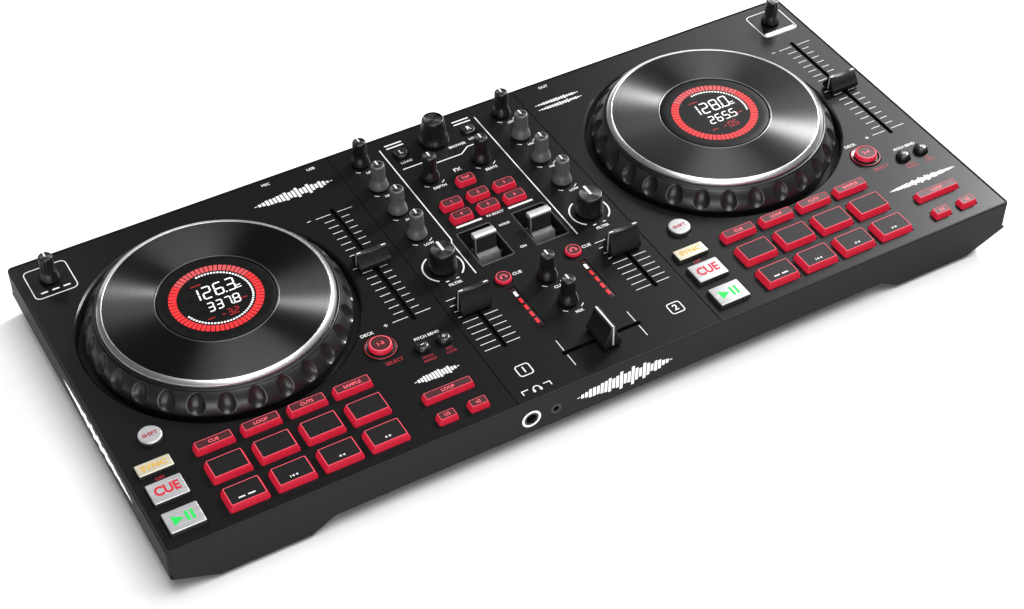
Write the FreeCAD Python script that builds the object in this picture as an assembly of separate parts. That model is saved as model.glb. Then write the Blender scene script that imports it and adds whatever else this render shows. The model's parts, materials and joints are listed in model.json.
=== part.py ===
"""Two-deck DJ controller: case, faceplate, jogs, faders, knobs, keys and the working parts inside.

The frame: origin on the table under the middle of the case, +X to the user's right,
+Y away from the user, +Z up.  All lengths are millimetres.
"""
import FreeCAD, Part
import math
import os

from FreeCAD import Placement, Rotation, Vector

# --- case -----------------------------------------------------------------------------------
CASE_WIDTH = 523.0
CASE_DEPTH = 233.0
CASE_CORNER_RADIUS = 3.0
RIM_WIDTH = 1.5              # plastic rim that frames the faceplate
RIM_RISE = 0.4               # how far the rim stands above the faceplate
CASE_BEVEL = 0.7
WALL = 3.0
FLOOR = 2.5
FOOT_HEIGHT = 3.0
FOOT_RADIUS = 8.0
FOOT_BEVEL = 0.8
FOOT_PLACE = (208.0, 98.0)
BLOCK_DROP = 30.0            # faceplate top down to the deep blocks under the decks
MIDDLE_DROP = 22.5           # faceplate top down to the raised middle of the floor
SIDE_DROP = 19.0             # faceplate top down to the bottom of the side walls
BLOCK_INNER_TOP_X = 172.0    # the block's inner slope runs from here ...
BLOCK_INNER_X = 186.0        # ... to here
BLOCK_OUTER_X = 236.0        # the block's outer bevel starts here and ends at the side wall

PANEL_TOP = FOOT_HEIGHT + BLOCK_DROP
PANEL_SHEET = 1.2
PANEL_CORNER_RADIUS = 1.8
GROOVE_OFFSET = 63.2                   # the two fine grooves beside the mixer
GROOVE_WIDTH = 0.6
GROOVE_DEPTH = 0.5
GROOVE_MIDDLE_X = -1.3
DECK_SHEET = 2.5
DECK_TOP = PANEL_TOP - PANEL_SHEET
DECK_UNDER = DECK_TOP - DECK_SHEET
BOARD_SHEET = 1.6
BOARD_TOP = PANEL_TOP - 11.4
SEAM = PANEL_TOP - SIDE_DROP + 0.5

# --- layout ---------------------------------------------------------------------------------
DECK_PITCH = 322.0
DECK_X = {"left": -173.5, "right": -173.5 + DECK_PITCH}
MIXER_X = -1.5
JOG_Y = 22.4
KEY_ROWS = (-61.4, -79.3, -100.2)      # mode keys, upper pads, lower pads
PAD_PITCH = 26.1
SILVER_X = -71.8                       # sync, cue and play, from the deck's middle
SHIFT_PLACE = (-65.7, -41.0)
DECK_SELECT_PLACE = (65.5, -42.0)
PITCH_X = {"left": 91.4, "right": 92.9}
PITCH_Y = 20.2
BEND_PLACES = ((84.7, -53.4), (97.7, -53.4))
LOOP_PLACE = (81.6, -88.1)
HALVE_PLACE = (72.4, -104.2)
DOUBLE_PLACE = (90.8, -104.2)

CHANNEL_OFFSET = 47.7
KNOB_ROWS = (100.5, 76.4, 52.3, 28.2)
FILTER_Y = -2.8
FX_KNOB_PLACES = ((-18.0, 68.8), (16.2, 68.8))
BROWSE_Y = 98.3
PHONES_KNOB_ROWS = (-37.7, -60.2)
CORNER_KNOB_X = 243.0
CORNER_KNOB_Y = 97.0
LOAD_PLACES = ((-23.0, 96.2), (22.6, 96.2))
PHONES_CUE_PLACES = ((-23.2, -27.9), (21.8, -27.9))
FX_KEY_PITCH = (17.4, 12.1)
FX_KEY_Y = 40.9
FX_TOP_KEY_Y = 55.7
PADDLE_OFFSET = 17.9
PADDLE_Y = 2.5
METER_OFFSET = 22.6
METER_Y = -52.7
METER_WIDTH = 4.0
METER_LENGTH = 33.8
METER_GAP = 0.1
METER_SUNK = 0.3
CHANNEL_FADER_Y = -49.7
CHANNEL_REST = 11.4                    # the channel caps rest this far up from mid travel
CROSSFADER_Y = -93.9
CROSSFADER_REST = 1.3

# --- circuit boards -------------------------------------------------------------------------
BOARD_FRONT = -111.0
MIXER_BOARD_X = (-63.0, 60.0)
JACK_CORNER = (-36.5, -88.0)           # the mixer board is cut away for the jacks up to here
DECK_BOARD_LEFT = 82.5
DECK_BOARD_RIGHT = 107.0
DECK_BOARD_BACK = -30.0
PITCH_BOARD_LEFT = 82.5
PITCH_BOARD_BACK = 86.0
CORNER_BOARD = (16.0, 14.0)

# --- jog ------------------------------------------------------------------------------------
WELL_RADIUS = 77.0
WELL_BEVEL = 1.1
WELL_BEVEL_DEPTH = 0.8
WELL_WALL = 1.5
WELL_FLOOR_TOP = PANEL_TOP - 10.0
WELL_FLOOR = 2.0
JOG_TOP = PANEL_TOP + 15.0
PLATE_SHEET = 3.0
PLATE_OUTER = 64.4
PLATE_HOLE = 32.7
POST_RADIUS = 12.0
POST_FLANGE = 20.0
POST_FLANGE_SHEET = 2.0
POST_BORE = 8.0                        # the display's cable passes up through the post
POST_FIT = 0.06                        # radial running clearance of the wheel on its post
DISPLAY_GAP = 0.1                      # the display stands this far below the jog's top, over its post
SKIRT_RADIUS = 73.2
SHOULDER_RADIUS = 66.4
DIMPLE_COUNT = 28
DIMPLE_PHASE = {"left": 6.0, "right": -0.9}   # how far each jog stands turned at rest, in degrees
DIMPLE_RADIUS = 5.4
DIMPLE_OFFSET = 4.0                    # the cutter's axis stands this far outside the flank's chord
DIMPLE_POINT = 9.2                     # the egg's heights from the middle of the flank
DIMPLE_WIDEST = -1.5
DIMPLE_BOTTOM = -8.3
DIMPLE_UPPER = (0.857, 4.0)            # its outline passes here: share of the radius, and height
DIMPLE_LOWER = (0.75, -6.0)
SKIRT_LIP = 1.4
FLANK_MIDDLE = (70.9, 6.6)             # the flank's arc passes here: radius, height over the lip
SHOULDER_BEVEL = 0.6
WHEEL_WEB = 3.0
WHEEL_WEB_GAP = 2.5
HUB_WALL = 5.0
HUB_RISE = 4.5
INNER_RING = (34.0, 37.0)              # carries the plate's inner edge
OUTER_LEDGE = (59.0, 62.5, 2.5)        # carries the plate's outer edge: radii and thickness
DISPLAY_RADIUS = 32.35
DISPLAY_SHEET = 5.9
DISPLAY_BEVEL = 0.5
PLATE_BEVEL = (2.8, 1.5)               # inwards and down

# --- faders ---------------------------------------------------------------------------------
PITCH_TRAVEL = 100.0
MIXER_TRAVEL = 45.0
STEM_THICKNESS = 1.8
STEM_LENGTH = 3.6
STEM_GAP = 0.4
STEM_CLEARANCE = 1.9                   # the stem stops this far above the board
TRACK_WIDTH = 9.0
TRACK_HEIGHT = 7.0
TRACK_END = 8.0
TRACK_FLOOR = 1.4
CAP_GAP = 1.0
CAP_HALF_TRAVEL = 5.5                  # half of the cap's length along its travel
CAP_HALF_BASE = 9.5
CAP_HALF_RIDGE = 8.9
CAP_FOOT = 2.6                         # height of the cap's upright foot
CAP_HOLLOW = 0.5                       # how far the cap's slopes are hollowed
RIDGE_HALF = 1.4
RIDGE_DIP = 0.6                        # finger dip in the ridge: depth and radius
RIDGE_DIP_RADIUS = 26.0
TALL_CAP = 14.2
LOW_CAP = 9.6

# --- knobs ----------------------------------------------------------------------------------
SHAFT_RADIUS = 3.0
SHAFT_FIT = 0.05
SHAFT_HOLE = 3.6
SHAFT_BOTTOM = BOARD_TOP + 1.9
POT_SIZE = 10.4
POT_HEIGHT = 6.5
ENCODER_EXTRA = 2.0                    # the browse knob's encoder is this much larger than a pot
KNOB_GAP = 0.7
KNOB_DISH = (0.9, 0.35)                # the crown is dished: rim width and depth
# Outer points (radius, height above the faceplate) from the flange to the crown, then the grooves:
# how many, their radius, the height where they start, and their axis (radius at 10 mm up, lean).
KNOB_STYLES = {
    "slim": ([(5.9, KNOB_GAP), (5.9, 1.7), (4.3, 6.6, 5.6, 4.4), (4.1, 16.2), (3.6, 16.9)],
             16, 0.45, 5.0, 4.25, 0.9),
    "browse": ([(9.4, KNOB_GAP), (9.4, 1.6), (8.1, 4.6, 9.1, 3.6), (6.7, 15.8), (6.0, 16.7)],
               24, 0.5, 4.0, 7.45, 7.0),
    "filter": ([(8.1, KNOB_GAP), (8.1, 2.0), (7.3, 12.9), (6.3, 14.0)],
               24, 0.4, 2.4, 7.65, 4.2),
}

# --- keys -----------------------------------------------------------------------------------
KEY_GAP = 0.4                          # clearance of a key in its faceplate hole
KEY_CORNER_RADIUS = 1.0
KEY_HOLE_CORNER_RADIUS = 1.2
KEY_BEVEL = 0.5
FLANGE_LIP = 0.9
NARROW_KEY = 8.0                       # keys less deep than this have a smaller lip
NARROW_FLANGE_LIP = 0.6
FLANGE_TOP = DECK_UNDER - 0.5
FLANGE_SHEET = 1.8
FINGERTIP_RADIUS = 7.0
COLLAR_WIDTH = 2.3
COLLAR_RISE = 0.8
PLUNGER_RADIUS = 1.5
PLUNGER_LENGTH = 2.0
SWITCH_SIZE = 6.0
SWITCH_HEIGHT = 1.8

# --- paddles --------------------------------------------------------------------------------
PADDLE_WELL_HALF_X = 10.0
PADDLE_WELL_HALF_Y = 14.5
PADDLE_WELL_WALL = 1.5
PADDLE_WELL_FLOOR_TOP = PANEL_TOP - 17.5
PADDLE_AXIS_Z = PANEL_TOP - 10.0
PADDLE_HUB_RADIUS = 7.0
PADDLE_HALF_WIDTH = 6.9
PADDLE_TOP = PANEL_TOP + 8.4
AXLE_RADIUS = 1.5
AXLE_FIT = 0.05

# --- sockets --------------------------------------------------------------------------------
JACK_Z = PANEL_TOP - 12.4
BIG_JACK_X = -57.8
SMALL_JACK_X = -42.8
BIG_JACK_BORE = 3.2
SMALL_JACK_BORE = 1.8
BIG_BARREL = 5.2
SMALL_BARREL = 3.2
MIC_X = -106.0
USB_X = -77.0
PHONO_X = 81.5
PHONO_Z = PANEL_TOP - 11.0               # higher than the jacks, so a plug's shell clears the bay
PHONO_SPACING = 14.0
PHONO_BARREL = 4.15
PHONO_BORE = 1.6
PHONO_ROOT = 4.8                       # the barrel is wider where it passes the bay's floor
USB_SHELL = (12.0, 11.0)
USB_MOUTH = (8.45, 7.78)
BAY_HALF_WIDTH = 14.5
BAY_DEPTH = 8.0
BAY_WALL = 1.5
PHONO_SUNK = 0.3                       # the barrels end this far inside the back wall
PHONO_BODY = (5.0, 10.0, 6.0)          # half width, length and half height
BIG_JACK_BODY = (14.0, 22.0, 12.0)     # width, length and height
SMALL_JACK_BODY = (8.0, 14.0, 7.0)
BIG_JACK_REACH = 20.0                  # how deep a plug goes in
SMALL_JACK_REACH = 13.0
USB_LENGTH = 16.0
USB_REACH = 9.0
BAY_Z = (PANEL_TOP - 17.0, PANEL_TOP - 5.0)

# --- screws ---------------------------------------------------------------------------------
BOSS_SPLIT = BOARD_TOP + 2.4
BOSS_RADIUS = 4.0
UPPER_BOSS_RADIUS = 3.3
SCREW_SHANK = 1.5
SCREW_HEAD = 2.8
SCREW_HEAD_HEIGHT = 2.0
SCREW_HEAD_GAP = 0.3
CROSS_WIDTH = 0.9                      # cross recess in each screw's head
CROSS_LENGTH = 3.4
CROSS_DEPTH = 0.9
SCREW_SEAT = PANEL_TOP - 17.0
SCREW_TIP = DECK_UNDER - 1.5
BOARD_HOLE = BOSS_RADIUS + 0.5
DECK_BOSSES = ((-56.0, -90.0), (58.5, -90.0), (-66.5, 75.0), (63.5, 82.0))
MIXER_BOSSES = ((0.0, 109.0), (0.0, -107.0))


# --- plain shapes ---------------------------------------------------------------------------
def slab(x, y, z):
    """A box from three (low, high) pairs."""
    return Part.makeBox(x[1] - x[0], y[1] - y[0], z[1] - z[0], Vector(x[0], y[0], z[0]))


def block(centre, width, depth, z):
    """A box centred on (x, y)."""
    x, y = centre
    return slab((x - width / 2, x + width / 2), (y - depth / 2, y + depth / 2), z)


def disc(centre, radius, z):
    return Part.makeCylinder(radius, z[1] - z[0], Vector(centre[0], centre[1], z[0]))


def rod_y(x, z, radius, y):
    """A cylinder that runs along +Y."""
    return Part.makeCylinder(radius, y[1] - y[0], Vector(x, y[0], z), Vector(0, 1, 0))


def rod_x(y, z, radius, x):
    """A cylinder that runs along +X."""
    return Part.makeCylinder(radius, x[1] - x[0], Vector(x[0], y, z), Vector(1, 0, 0))


def rounded_block(centre, width, depth, radius, z):
    """A box with round upright corners."""
    return rounded_upright_edges(block(centre, width, depth, z), radius)


def rounded_upright_edges(shape, radius):
    upright = []
    for edge in shape.Edges:
        low = edge.BoundBox
        if low.ZLength > 0.01 and low.XLength < 0.01 and low.YLength < 0.01:
            upright.append(edge)
    return shape.makeFillet(radius, upright)


def joined(shapes):
    whole = shapes[0].multiFuse(shapes[1:]) if len(shapes) > 1 else shapes[0]
    return whole.removeSplitter()


def turned(profile, centre):
    """A solid of revolution about the upright line at centre, from (radius, z) points.

    A point given as (radius, z, mid_radius, mid_z) is reached by an arc through the middle point.
    """
    edges = []
    start = profile[-1]
    for point in profile:
        here = Vector(start[0], 0, start[1])
        there = Vector(point[0], 0, point[1])
        if len(point) == 4:
            edges.append(Part.Arc(here, Vector(point[2], 0, point[3]), there).toShape())
        else:
            edges.append(Part.LineSegment(here, there).toShape())
        start = point
    face = Part.Face(Part.Wire(edges))
    solid = face.revolve(Vector(0, 0, 0), Vector(0, 0, 1), 360)
    solid.translate(Vector(centre[0], centre[1], 0))
    return solid


def extruded_along_x(outline, x):
    """A prism along X from (y, z) points; a point with four numbers is reached by an arc."""
    edges = []
    start = outline[-1]
    for point in outline:
        here = Vector(x[0], start[0], start[1])
        there = Vector(x[0], point[0], point[1])
        if len(point) == 4:
            edges.append(Part.Arc(here, Vector(x[0], point[2], point[3]), there).toShape())
        else:
            edges.append(Part.LineSegment(here, there).toShape())
        start = point
    return Part.Face(Part.Wire(edges)).extrude(Vector(x[1] - x[0], 0, 0))


def extruded_along_y(outline, y):
    """A prism along Y from (x, z) points."""
    corners = [Vector(x, y[0], z) for x, z in outline]
    wire = Part.makePolygon(corners + corners[:1])
    return Part.Face(wire).extrude(Vector(0, y[1] - y[0], 0))


def keep(name, solids):
    """Write one node; a list of solids is kept as a group of separate solids."""
    shape = solids if not isinstance(solids, list) else Part.makeCompound(solids)
    if not shape.isValid():
        raise RuntimeError(name + " is not a valid shape")
    shape.exportStep("parts/" + name + ".step")


# --- layout of what repeats -----------------------------------------------------------------
def on_deck(side, place):
    return (DECK_X[side] + place[0], place[1])


def in_mixer(place):
    return (MIXER_X + place[0], place[1])


def rectangle_keys(side):
    """Every rectangular key of one deck: name -> list of (centre, width, depth, rise)."""
    columns = [(i - 1.5) * PAD_PITCH for i in range(4)]
    modes = [(on_deck(side, (x, KEY_ROWS[0])), 21.7, 7.6, 3.6) for x in columns]
    pads = [(on_deck(side, (x, y)), 21.7, 15.0, 3.6) for y in KEY_ROWS[1:] for x in columns]
    loops = [
        (on_deck(side, LOOP_PLACE), 29.0, 6.8, 3.2),
        (on_deck(side, HALVE_PLACE), 11.2, 7.0, 3.2),
        (on_deck(side, DOUBLE_PLACE), 11.2, 7.0, 3.2),
    ]
    return {
        "sync_button": [(on_deck(side, (SILVER_X, KEY_ROWS[0] - 0.3)), 19.3, 8.6, 2.5)],
        "cue_button": [(on_deck(side, (SILVER_X, KEY_ROWS[1])), 19.3, 14.4, 2.5)],
        "play_button": [(on_deck(side, (SILVER_X, KEY_ROWS[2])), 19.3, 14.6, 2.5)],
        "mode_keys": modes,
        "pads": pads,
        "loop_and_bend_keys": loops,
    }


def round_keys(side):
    """Every round key of one deck: name -> list of (centre, radius, rise)."""
    return {
        "shift_button": [(on_deck(side, SHIFT_PLACE), 6.5, 2.5)],
        "deck_select_button": [(on_deck(side, DECK_SELECT_PLACE), 9.1, 3.8)],
        "loop_and_bend_keys": [(on_deck(side, place), 4.2, 3.4) for place in BEND_PLACES],
    }


def mixer_rectangle_keys():
    keys = [(in_mixer((-1.4, FX_TOP_KEY_Y)), 11.8, 7.6, 3.3)]
    for row in range(2):
        for column in range(3):
            x = (column - 1) * FX_KEY_PITCH[0] - 1.3
            keys.append((in_mixer((x, FX_KEY_Y - row * FX_KEY_PITCH[1])), 13.6, 8.0, 3.3))
    return {"effect_keys": keys}


def mixer_round_keys():
    return {
        "load_buttons": [(in_mixer(place), 4.5, 2.0) for place in LOAD_PLACES],
        "headphone_cue_buttons": [(in_mixer(place), 4.8, 2.2) for place in PHONES_CUE_PLACES],
    }


def knob_places():
    """Name -> (centre, kind) for every knob."""
    places = {
        "browse_knob": (in_mixer((0, BROWSE_Y)), "browse"),
        "effect_depth_knob": (in_mixer(FX_KNOB_PLACES[0]), "slim"),
        "effect_beats_knob": (in_mixer(FX_KNOB_PLACES[1]), "slim"),
        "headphone_level_knob": (in_mixer((-0.8, PHONES_KNOB_ROWS[0])), "slim"),
        "headphone_mix_knob": (in_mixer((-0.8, PHONES_KNOB_ROWS[1])), "slim"),
        "mic_level_knob": ((-CORNER_KNOB_X, CORNER_KNOB_Y), "slim"),
        "main_level_knob": ((CORNER_KNOB_X, CORNER_KNOB_Y), "slim"),
    }
    for side, sign in (("left", -1), ("right", 1)):
        x = sign * CHANNEL_OFFSET
        for role, y in zip(("level", "high", "mid", "low"), KNOB_ROWS):
            places[role + "_knob_" + side] = (in_mixer((x, y)), "slim")
        places["filter_knob_" + side] = (in_mixer((x, FILTER_Y)), "filter")
    return places


def fader_places():
    """Name -> (mid-travel point, rest point, travel, direction, cap height)."""
    places = {}
    for side in DECK_X:
        middle = on_deck(side, (PITCH_X[side], PITCH_Y))
        places["pitch_fader_" + side] = (middle, middle, PITCH_TRAVEL, "y", LOW_CAP)
    for side, sign in (("left", -1), ("right", 1)):
        x, y = in_mixer((sign * CHANNEL_OFFSET - 0.2, CHANNEL_FADER_Y))
        places["channel_fader_" + side] = ((x, y), (x, y + CHANNEL_REST), MIXER_TRAVEL, "y", TALL_CAP)
    x, y = in_mixer((0.2, CROSSFADER_Y))
    places["crossfader"] = ((x, y), (x + CROSSFADER_REST, y), MIXER_TRAVEL, "x", TALL_CAP)
    return places


def paddle_centres():
    return {
        "effect_paddle_left": (MIXER_X - PADDLE_OFFSET, PADDLE_Y),
        "effect_paddle_right": (MIXER_X + PADDLE_OFFSET, PADDLE_Y),
    }


def boss_places():
    places = [on_deck(side, place) for side in DECK_X for place in DECK_BOSSES]
    return places + [in_mixer(place) for place in MIXER_BOSSES]


def meter_centres():
    return [(MIXER_X + sign * METER_OFFSET, METER_Y) for sign in (-1, 1)]


# --- holes through the faceplate and the deck under it --------------------------------------
def control_holes(extra, z):
    """Cutters for everything that passes the faceplate; extra widens each hole all round."""
    cutters = []
    gap = KEY_GAP + extra
    for side in DECK_X:
        for keys in rectangle_keys(side).values():
            for centre, width, depth, _ in keys:
                cutters.append(rounded_block(centre, width + 2 * gap, depth + 2 * gap,
                                              KEY_HOLE_CORNER_RADIUS, z))
        for keys in round_keys(side).values():
            for centre, radius, _ in keys:
                cutters.append(disc(centre, radius + gap, z))
        cutters.append(disc((DECK_X[side], JOG_Y), WELL_RADIUS, z))
    for keys in mixer_rectangle_keys().values():
        for centre, width, depth, _ in keys:
            cutters.append(rounded_block(centre, width + 2 * gap, depth + 2 * gap,
                                         KEY_HOLE_CORNER_RADIUS, z))
    for keys in mixer_round_keys().values():
        for centre, radius, _ in keys:
            cutters.append(disc(centre, radius + gap, z))
    for centre, _ in knob_places().values():
        cutters.append(disc(centre, SHAFT_HOLE + extra, z))
    for middle, _, travel, direction, _ in fader_places().values():
        length = travel + STEM_LENGTH + 2 * STEM_GAP + 2 * extra
        width = STEM_THICKNESS + 2 * STEM_GAP + 2 * extra
        size = (length, width) if direction == "x" else (width, length)
        cutters.append(block(middle, size[0], size[1], z))
    for centre in paddle_centres().values():
        cutters.append(block(centre, 2 * PADDLE_WELL_HALF_X, 2 * PADDLE_WELL_HALF_Y, z))
    for centre in meter_centres():
        cutters.append(block(centre, METER_WIDTH + 2 * METER_GAP, METER_LENGTH + 2 * METER_GAP, z))
    return cutters


def make_faceplate():
    width = CASE_WIDTH - 2 * RIM_WIDTH
    depth = CASE_DEPTH - 2 * RIM_WIDTH
    sheet = rounded_block((0, 0), width, depth, PANEL_CORNER_RADIUS, (DECK_TOP, PANEL_TOP))
    cutters = control_holes(0.0, (DECK_TOP - 1, PANEL_TOP + 1))
    for x in DECK_X.values():
        bevel = [
            (WELL_RADIUS - WELL_BEVEL, PANEL_TOP + WELL_BEVEL),
            (WELL_RADIUS + 2 * WELL_BEVEL, PANEL_TOP + WELL_BEVEL),
            (WELL_RADIUS + WELL_BEVEL, PANEL_TOP),
            (WELL_RADIUS, PANEL_TOP - WELL_BEVEL_DEPTH),
            (WELL_RADIUS - WELL_BEVEL, PANEL_TOP - WELL_BEVEL_DEPTH),
        ]
        cutters.append(turned(bevel, (x, JOG_Y)))
    for sign in (-1, 1):
        groove = (GROOVE_MIDDLE_X + sign * GROOVE_OFFSET, 0)
        cutters.append(block(groove, GROOVE_WIDTH, 2 * CASE_DEPTH, (PANEL_TOP - GROOVE_DEPTH, PANEL_TOP + 1)))
    return sheet.cut(cutters)


# --- case -----------------------------------------------------------------------------------
def jog_well(centre):
    outer = disc(centre, WELL_RADIUS + WELL_WALL, (WELL_FLOOR_TOP - WELL_FLOOR, DECK_TOP))
    inner = disc(centre, WELL_RADIUS, (WELL_FLOOR_TOP, DECK_TOP + 1))
    centre_hole = disc(centre, POST_BORE, (WELL_FLOOR_TOP - WELL_FLOOR - 1, WELL_FLOOR_TOP + 1))
    return outer.cut([inner, centre_hole])


def paddle_well(centre):
    """A closed cup under the deck whose side cheeks carry the paddle's axle."""
    side = 2 * PADDLE_WELL_WALL
    outer = block(centre, 2 * PADDLE_WELL_HALF_X + side, 2 * PADDLE_WELL_HALF_Y + side,
                  (PADDLE_WELL_FLOOR_TOP - PADDLE_WELL_WALL, DECK_TOP))
    inner = block(centre, 2 * PADDLE_WELL_HALF_X, 2 * PADDLE_WELL_HALF_Y,
                  (PADDLE_WELL_FLOOR_TOP, DECK_TOP + 1))
    reach = PADDLE_WELL_HALF_X + PADDLE_WELL_WALL + 1
    bore = rod_x(centre[1], PADDLE_AXIS_Z, AXLE_RADIUS + AXLE_FIT,
                 (centre[0] - reach, centre[0] + reach))
    return outer.cut([inner, bore])


def socket_holes():
    """Cutters through the front and back walls for the sockets."""
    front = (-CASE_DEPTH / 2 - 1, -CASE_DEPTH / 2 + WALL + 1)
    back = (CASE_DEPTH / 2 - WALL - 1, CASE_DEPTH / 2 + 1)
    usb_z = (JACK_Z - USB_SHELL[1] / 2, JACK_Z + USB_SHELL[1] / 2)
    return [
        rod_y(BIG_JACK_X, JACK_Z, BIG_BARREL, front),
        rod_y(SMALL_JACK_X, JACK_Z, SMALL_BARREL, front),
        rod_y(MIC_X, JACK_Z, BIG_BARREL, back),
        slab((USB_X - USB_SHELL[0] / 2, USB_X + USB_SHELL[0] / 2), back, usb_z),
    ]


def phono_bay():
    """The sunk box in the back wall round the two phono sockets: (solid to add, space to cut)."""
    wall = BAY_WALL
    low = PHONO_X - BAY_HALF_WIDTH
    high = PHONO_X + BAY_HALF_WIDTH
    back = CASE_DEPTH / 2
    floor_y = back - BAY_DEPTH
    shell = slab((low - wall, high + wall), (floor_y - wall, back - 1), (BAY_Z[0] - wall, DECK_UNDER))
    space = slab((low, high), (floor_y, back + 1), BAY_Z)
    holes = []
    for x in phono_xs():
        holes.append(rod_y(x, PHONO_Z, PHONO_ROOT, (floor_y - 3, floor_y + 1)))
    return shell, [space] + holes


def phono_xs():
    return (PHONO_X - PHONO_SPACING / 2, PHONO_X + PHONO_SPACING / 2)


def make_upper_case():
    outer = rounded_block((0, 0), CASE_WIDTH, CASE_DEPTH, CASE_CORNER_RADIUS,
                          (SEAM, PANEL_TOP + RIM_RISE))
    top_edges = [e for e in outer.Edges if abs(e.BoundBox.ZMin - PANEL_TOP - RIM_RISE) < 1e-6]
    outer = outer.makeChamfer(CASE_BEVEL, top_edges)
    seat = rounded_block((0, 0), CASE_WIDTH - 2 * RIM_WIDTH, CASE_DEPTH - 2 * RIM_WIDTH, PANEL_CORNER_RADIUS,
                         (DECK_TOP, PANEL_TOP + 5))
    hollow = block((0, 0), CASE_WIDTH - 2 * WALL, CASE_DEPTH - 2 * WALL, (SEAM - 1, DECK_UNDER))
    shell = outer.cut([seat, hollow])
    shell = shell.cut(control_holes(0.3, (DECK_UNDER - 1, PANEL_TOP + 1)))
    wells = [jog_well((x, JOG_Y)) for x in DECK_X.values()]
    wells += [paddle_well(centre) for centre in paddle_centres().values()]
    bay, bay_cuts = phono_bay()
    bosses = [disc(place, UPPER_BOSS_RADIUS, (BOSS_SPLIT, DECK_UNDER)) for place in boss_places()]
    shell = joined([shell, bay] + wells + bosses)
    screw_holes = [disc(place, SCREW_SHANK, (BOSS_SPLIT - 1, SCREW_TIP)) for place in boss_places()]
    return shell.cut(socket_holes() + bay_cuts + screw_holes)


def floor_outline(inset):
    """Front view of the tub as (x, z) points, open side up, moved inwards by inset."""
    half = CASE_WIDTH / 2 - inset * WALL / FLOOR
    low = FOOT_HEIGHT + inset
    middle = PANEL_TOP - MIDDLE_DROP + inset
    side = PANEL_TOP - SIDE_DROP + inset * 0.5
    top = SEAM if inset == 0 else SEAM + 1
    right = [
        (BLOCK_INNER_TOP_X + inset * 0.5, middle),
        (BLOCK_INNER_X + inset * 0.5, low),
        (BLOCK_OUTER_X - inset * 0.5, low),
        (half, side),
        (half, top),
    ]
    left = [(-x, z) for x, z in reversed(right)]
    return right + left


def make_lower_case():
    half = CASE_DEPTH / 2
    outer = extruded_along_y(floor_outline(0), (-half, half))
    inner = extruded_along_y(floor_outline(FLOOR), (-half + WALL, half - WALL))
    tub = outer.cut(inner)
    bosses = []
    cutters = []
    for place in boss_places():
        bosses.append(disc(place, BOSS_RADIUS, (FOOT_HEIGHT + 1, BOSS_SPLIT)))
        cutters.append(disc(place, SCREW_HEAD + SCREW_HEAD_GAP, (0, SCREW_SEAT)))
        cutters.append(disc(place, SCREW_SHANK, (0, BOSS_SPLIT + 1)))
    bosses = [boss.common(under_cover()) for boss in bosses]
    return joined([tub] + bosses).cut(cutters)


def under_cover():
    """The space above the tub's outer skin, which trims the screw bosses."""
    half = CASE_DEPTH / 2
    skin = floor_outline(0)
    raised = [(x, z if z < SEAM else PANEL_TOP) for x, z in skin]
    return extruded_along_y(raised, (-half, half))


def make_feet():
    places = [(sx * FOOT_PLACE[0], sy * FOOT_PLACE[1]) for sx in (-1, 1) for sy in (-1, 1)]
    profile = [(0, 0), (FOOT_RADIUS - FOOT_BEVEL, 0), (FOOT_RADIUS, FOOT_BEVEL), (FOOT_RADIUS, FOOT_HEIGHT),
               (0, FOOT_HEIGHT)]
    return [turned(profile, place) for place in places]


def make_screws():
    screws = []
    for place in boss_places():
        head = disc(place, SCREW_HEAD, (SCREW_SEAT - SCREW_HEAD_HEIGHT, SCREW_SEAT))
        shank = disc(place, SCREW_SHANK, (SCREW_SEAT, SCREW_TIP))
        z = (SCREW_SEAT - SCREW_HEAD_HEIGHT - 1, SCREW_SEAT - SCREW_HEAD_HEIGHT + CROSS_DEPTH)
        recess = block(place, CROSS_WIDTH, CROSS_LENGTH, z)
        cross = block(place, CROSS_LENGTH, CROSS_WIDTH, z)
        screws.append(head.fuse(shank).cut([recess, cross]).removeSplitter())
    return screws


# --- electronics ----------------------------------------------------------------------------
def all_key_places():
    places = []
    for side in DECK_X:
        for keys in list(rectangle_keys(side).values()) + list(round_keys(side).values()):
            places += [key[0] for key in keys]
    for keys in list(mixer_rectangle_keys().values()) + list(mixer_round_keys().values()):
        places += [key[0] for key in keys]
    return places


def make_boards():
    """The bare boards and, on them, one key switch under every key."""
    z = (BOARD_TOP - BOARD_SHEET, BOARD_TOP)
    boss_holes = [disc(place, BOARD_HOLE, (z[0] - 1, z[1] + 1)) for place in boss_places()]
    boards = []
    for side, x in DECK_X.items():
        front = slab((x - DECK_BOARD_LEFT, x + DECK_BOARD_RIGHT), (BOARD_FRONT, DECK_BOARD_BACK), z)
        strip = slab((x + PITCH_BOARD_LEFT, x + DECK_BOARD_RIGHT), (DECK_BOARD_BACK - 1, PITCH_BOARD_BACK), z)
        clearing = disc((x, JOG_Y), WELL_RADIUS + WELL_WALL + 1.5, (z[0] - 1, z[1] + 1))
        boards.append(front.fuse(strip).removeSplitter().cut([clearing] + boss_holes))
    mixer = slab(MIXER_BOARD_X, (BOARD_FRONT, -BOARD_FRONT), z)
    through = (z[0] - 1, z[1] + 1)
    gap = 2 * PADDLE_WELL_WALL + 1
    cuts = [block(centre, 2 * PADDLE_WELL_HALF_X + gap, 2 * PADDLE_WELL_HALF_Y + gap, through)
            for centre in paddle_centres().values()]
    cuts.append(slab((MIXER_BOARD_X[0] - 1, JACK_CORNER[0]), (BOARD_FRONT - 1, JACK_CORNER[1]), through))
    boards.append(mixer.cut(cuts + boss_holes))
    for x in (-CORNER_KNOB_X, CORNER_KNOB_X):
        boards.append(block((x, CORNER_KNOB_Y), CORNER_BOARD[0], CORNER_BOARD[1], z))
    switch_z = (BOARD_TOP, BOARD_TOP + SWITCH_HEIGHT)
    switches = [block(place, SWITCH_SIZE, SWITCH_SIZE, switch_z) for place in all_key_places()]
    return boards + switches


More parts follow.
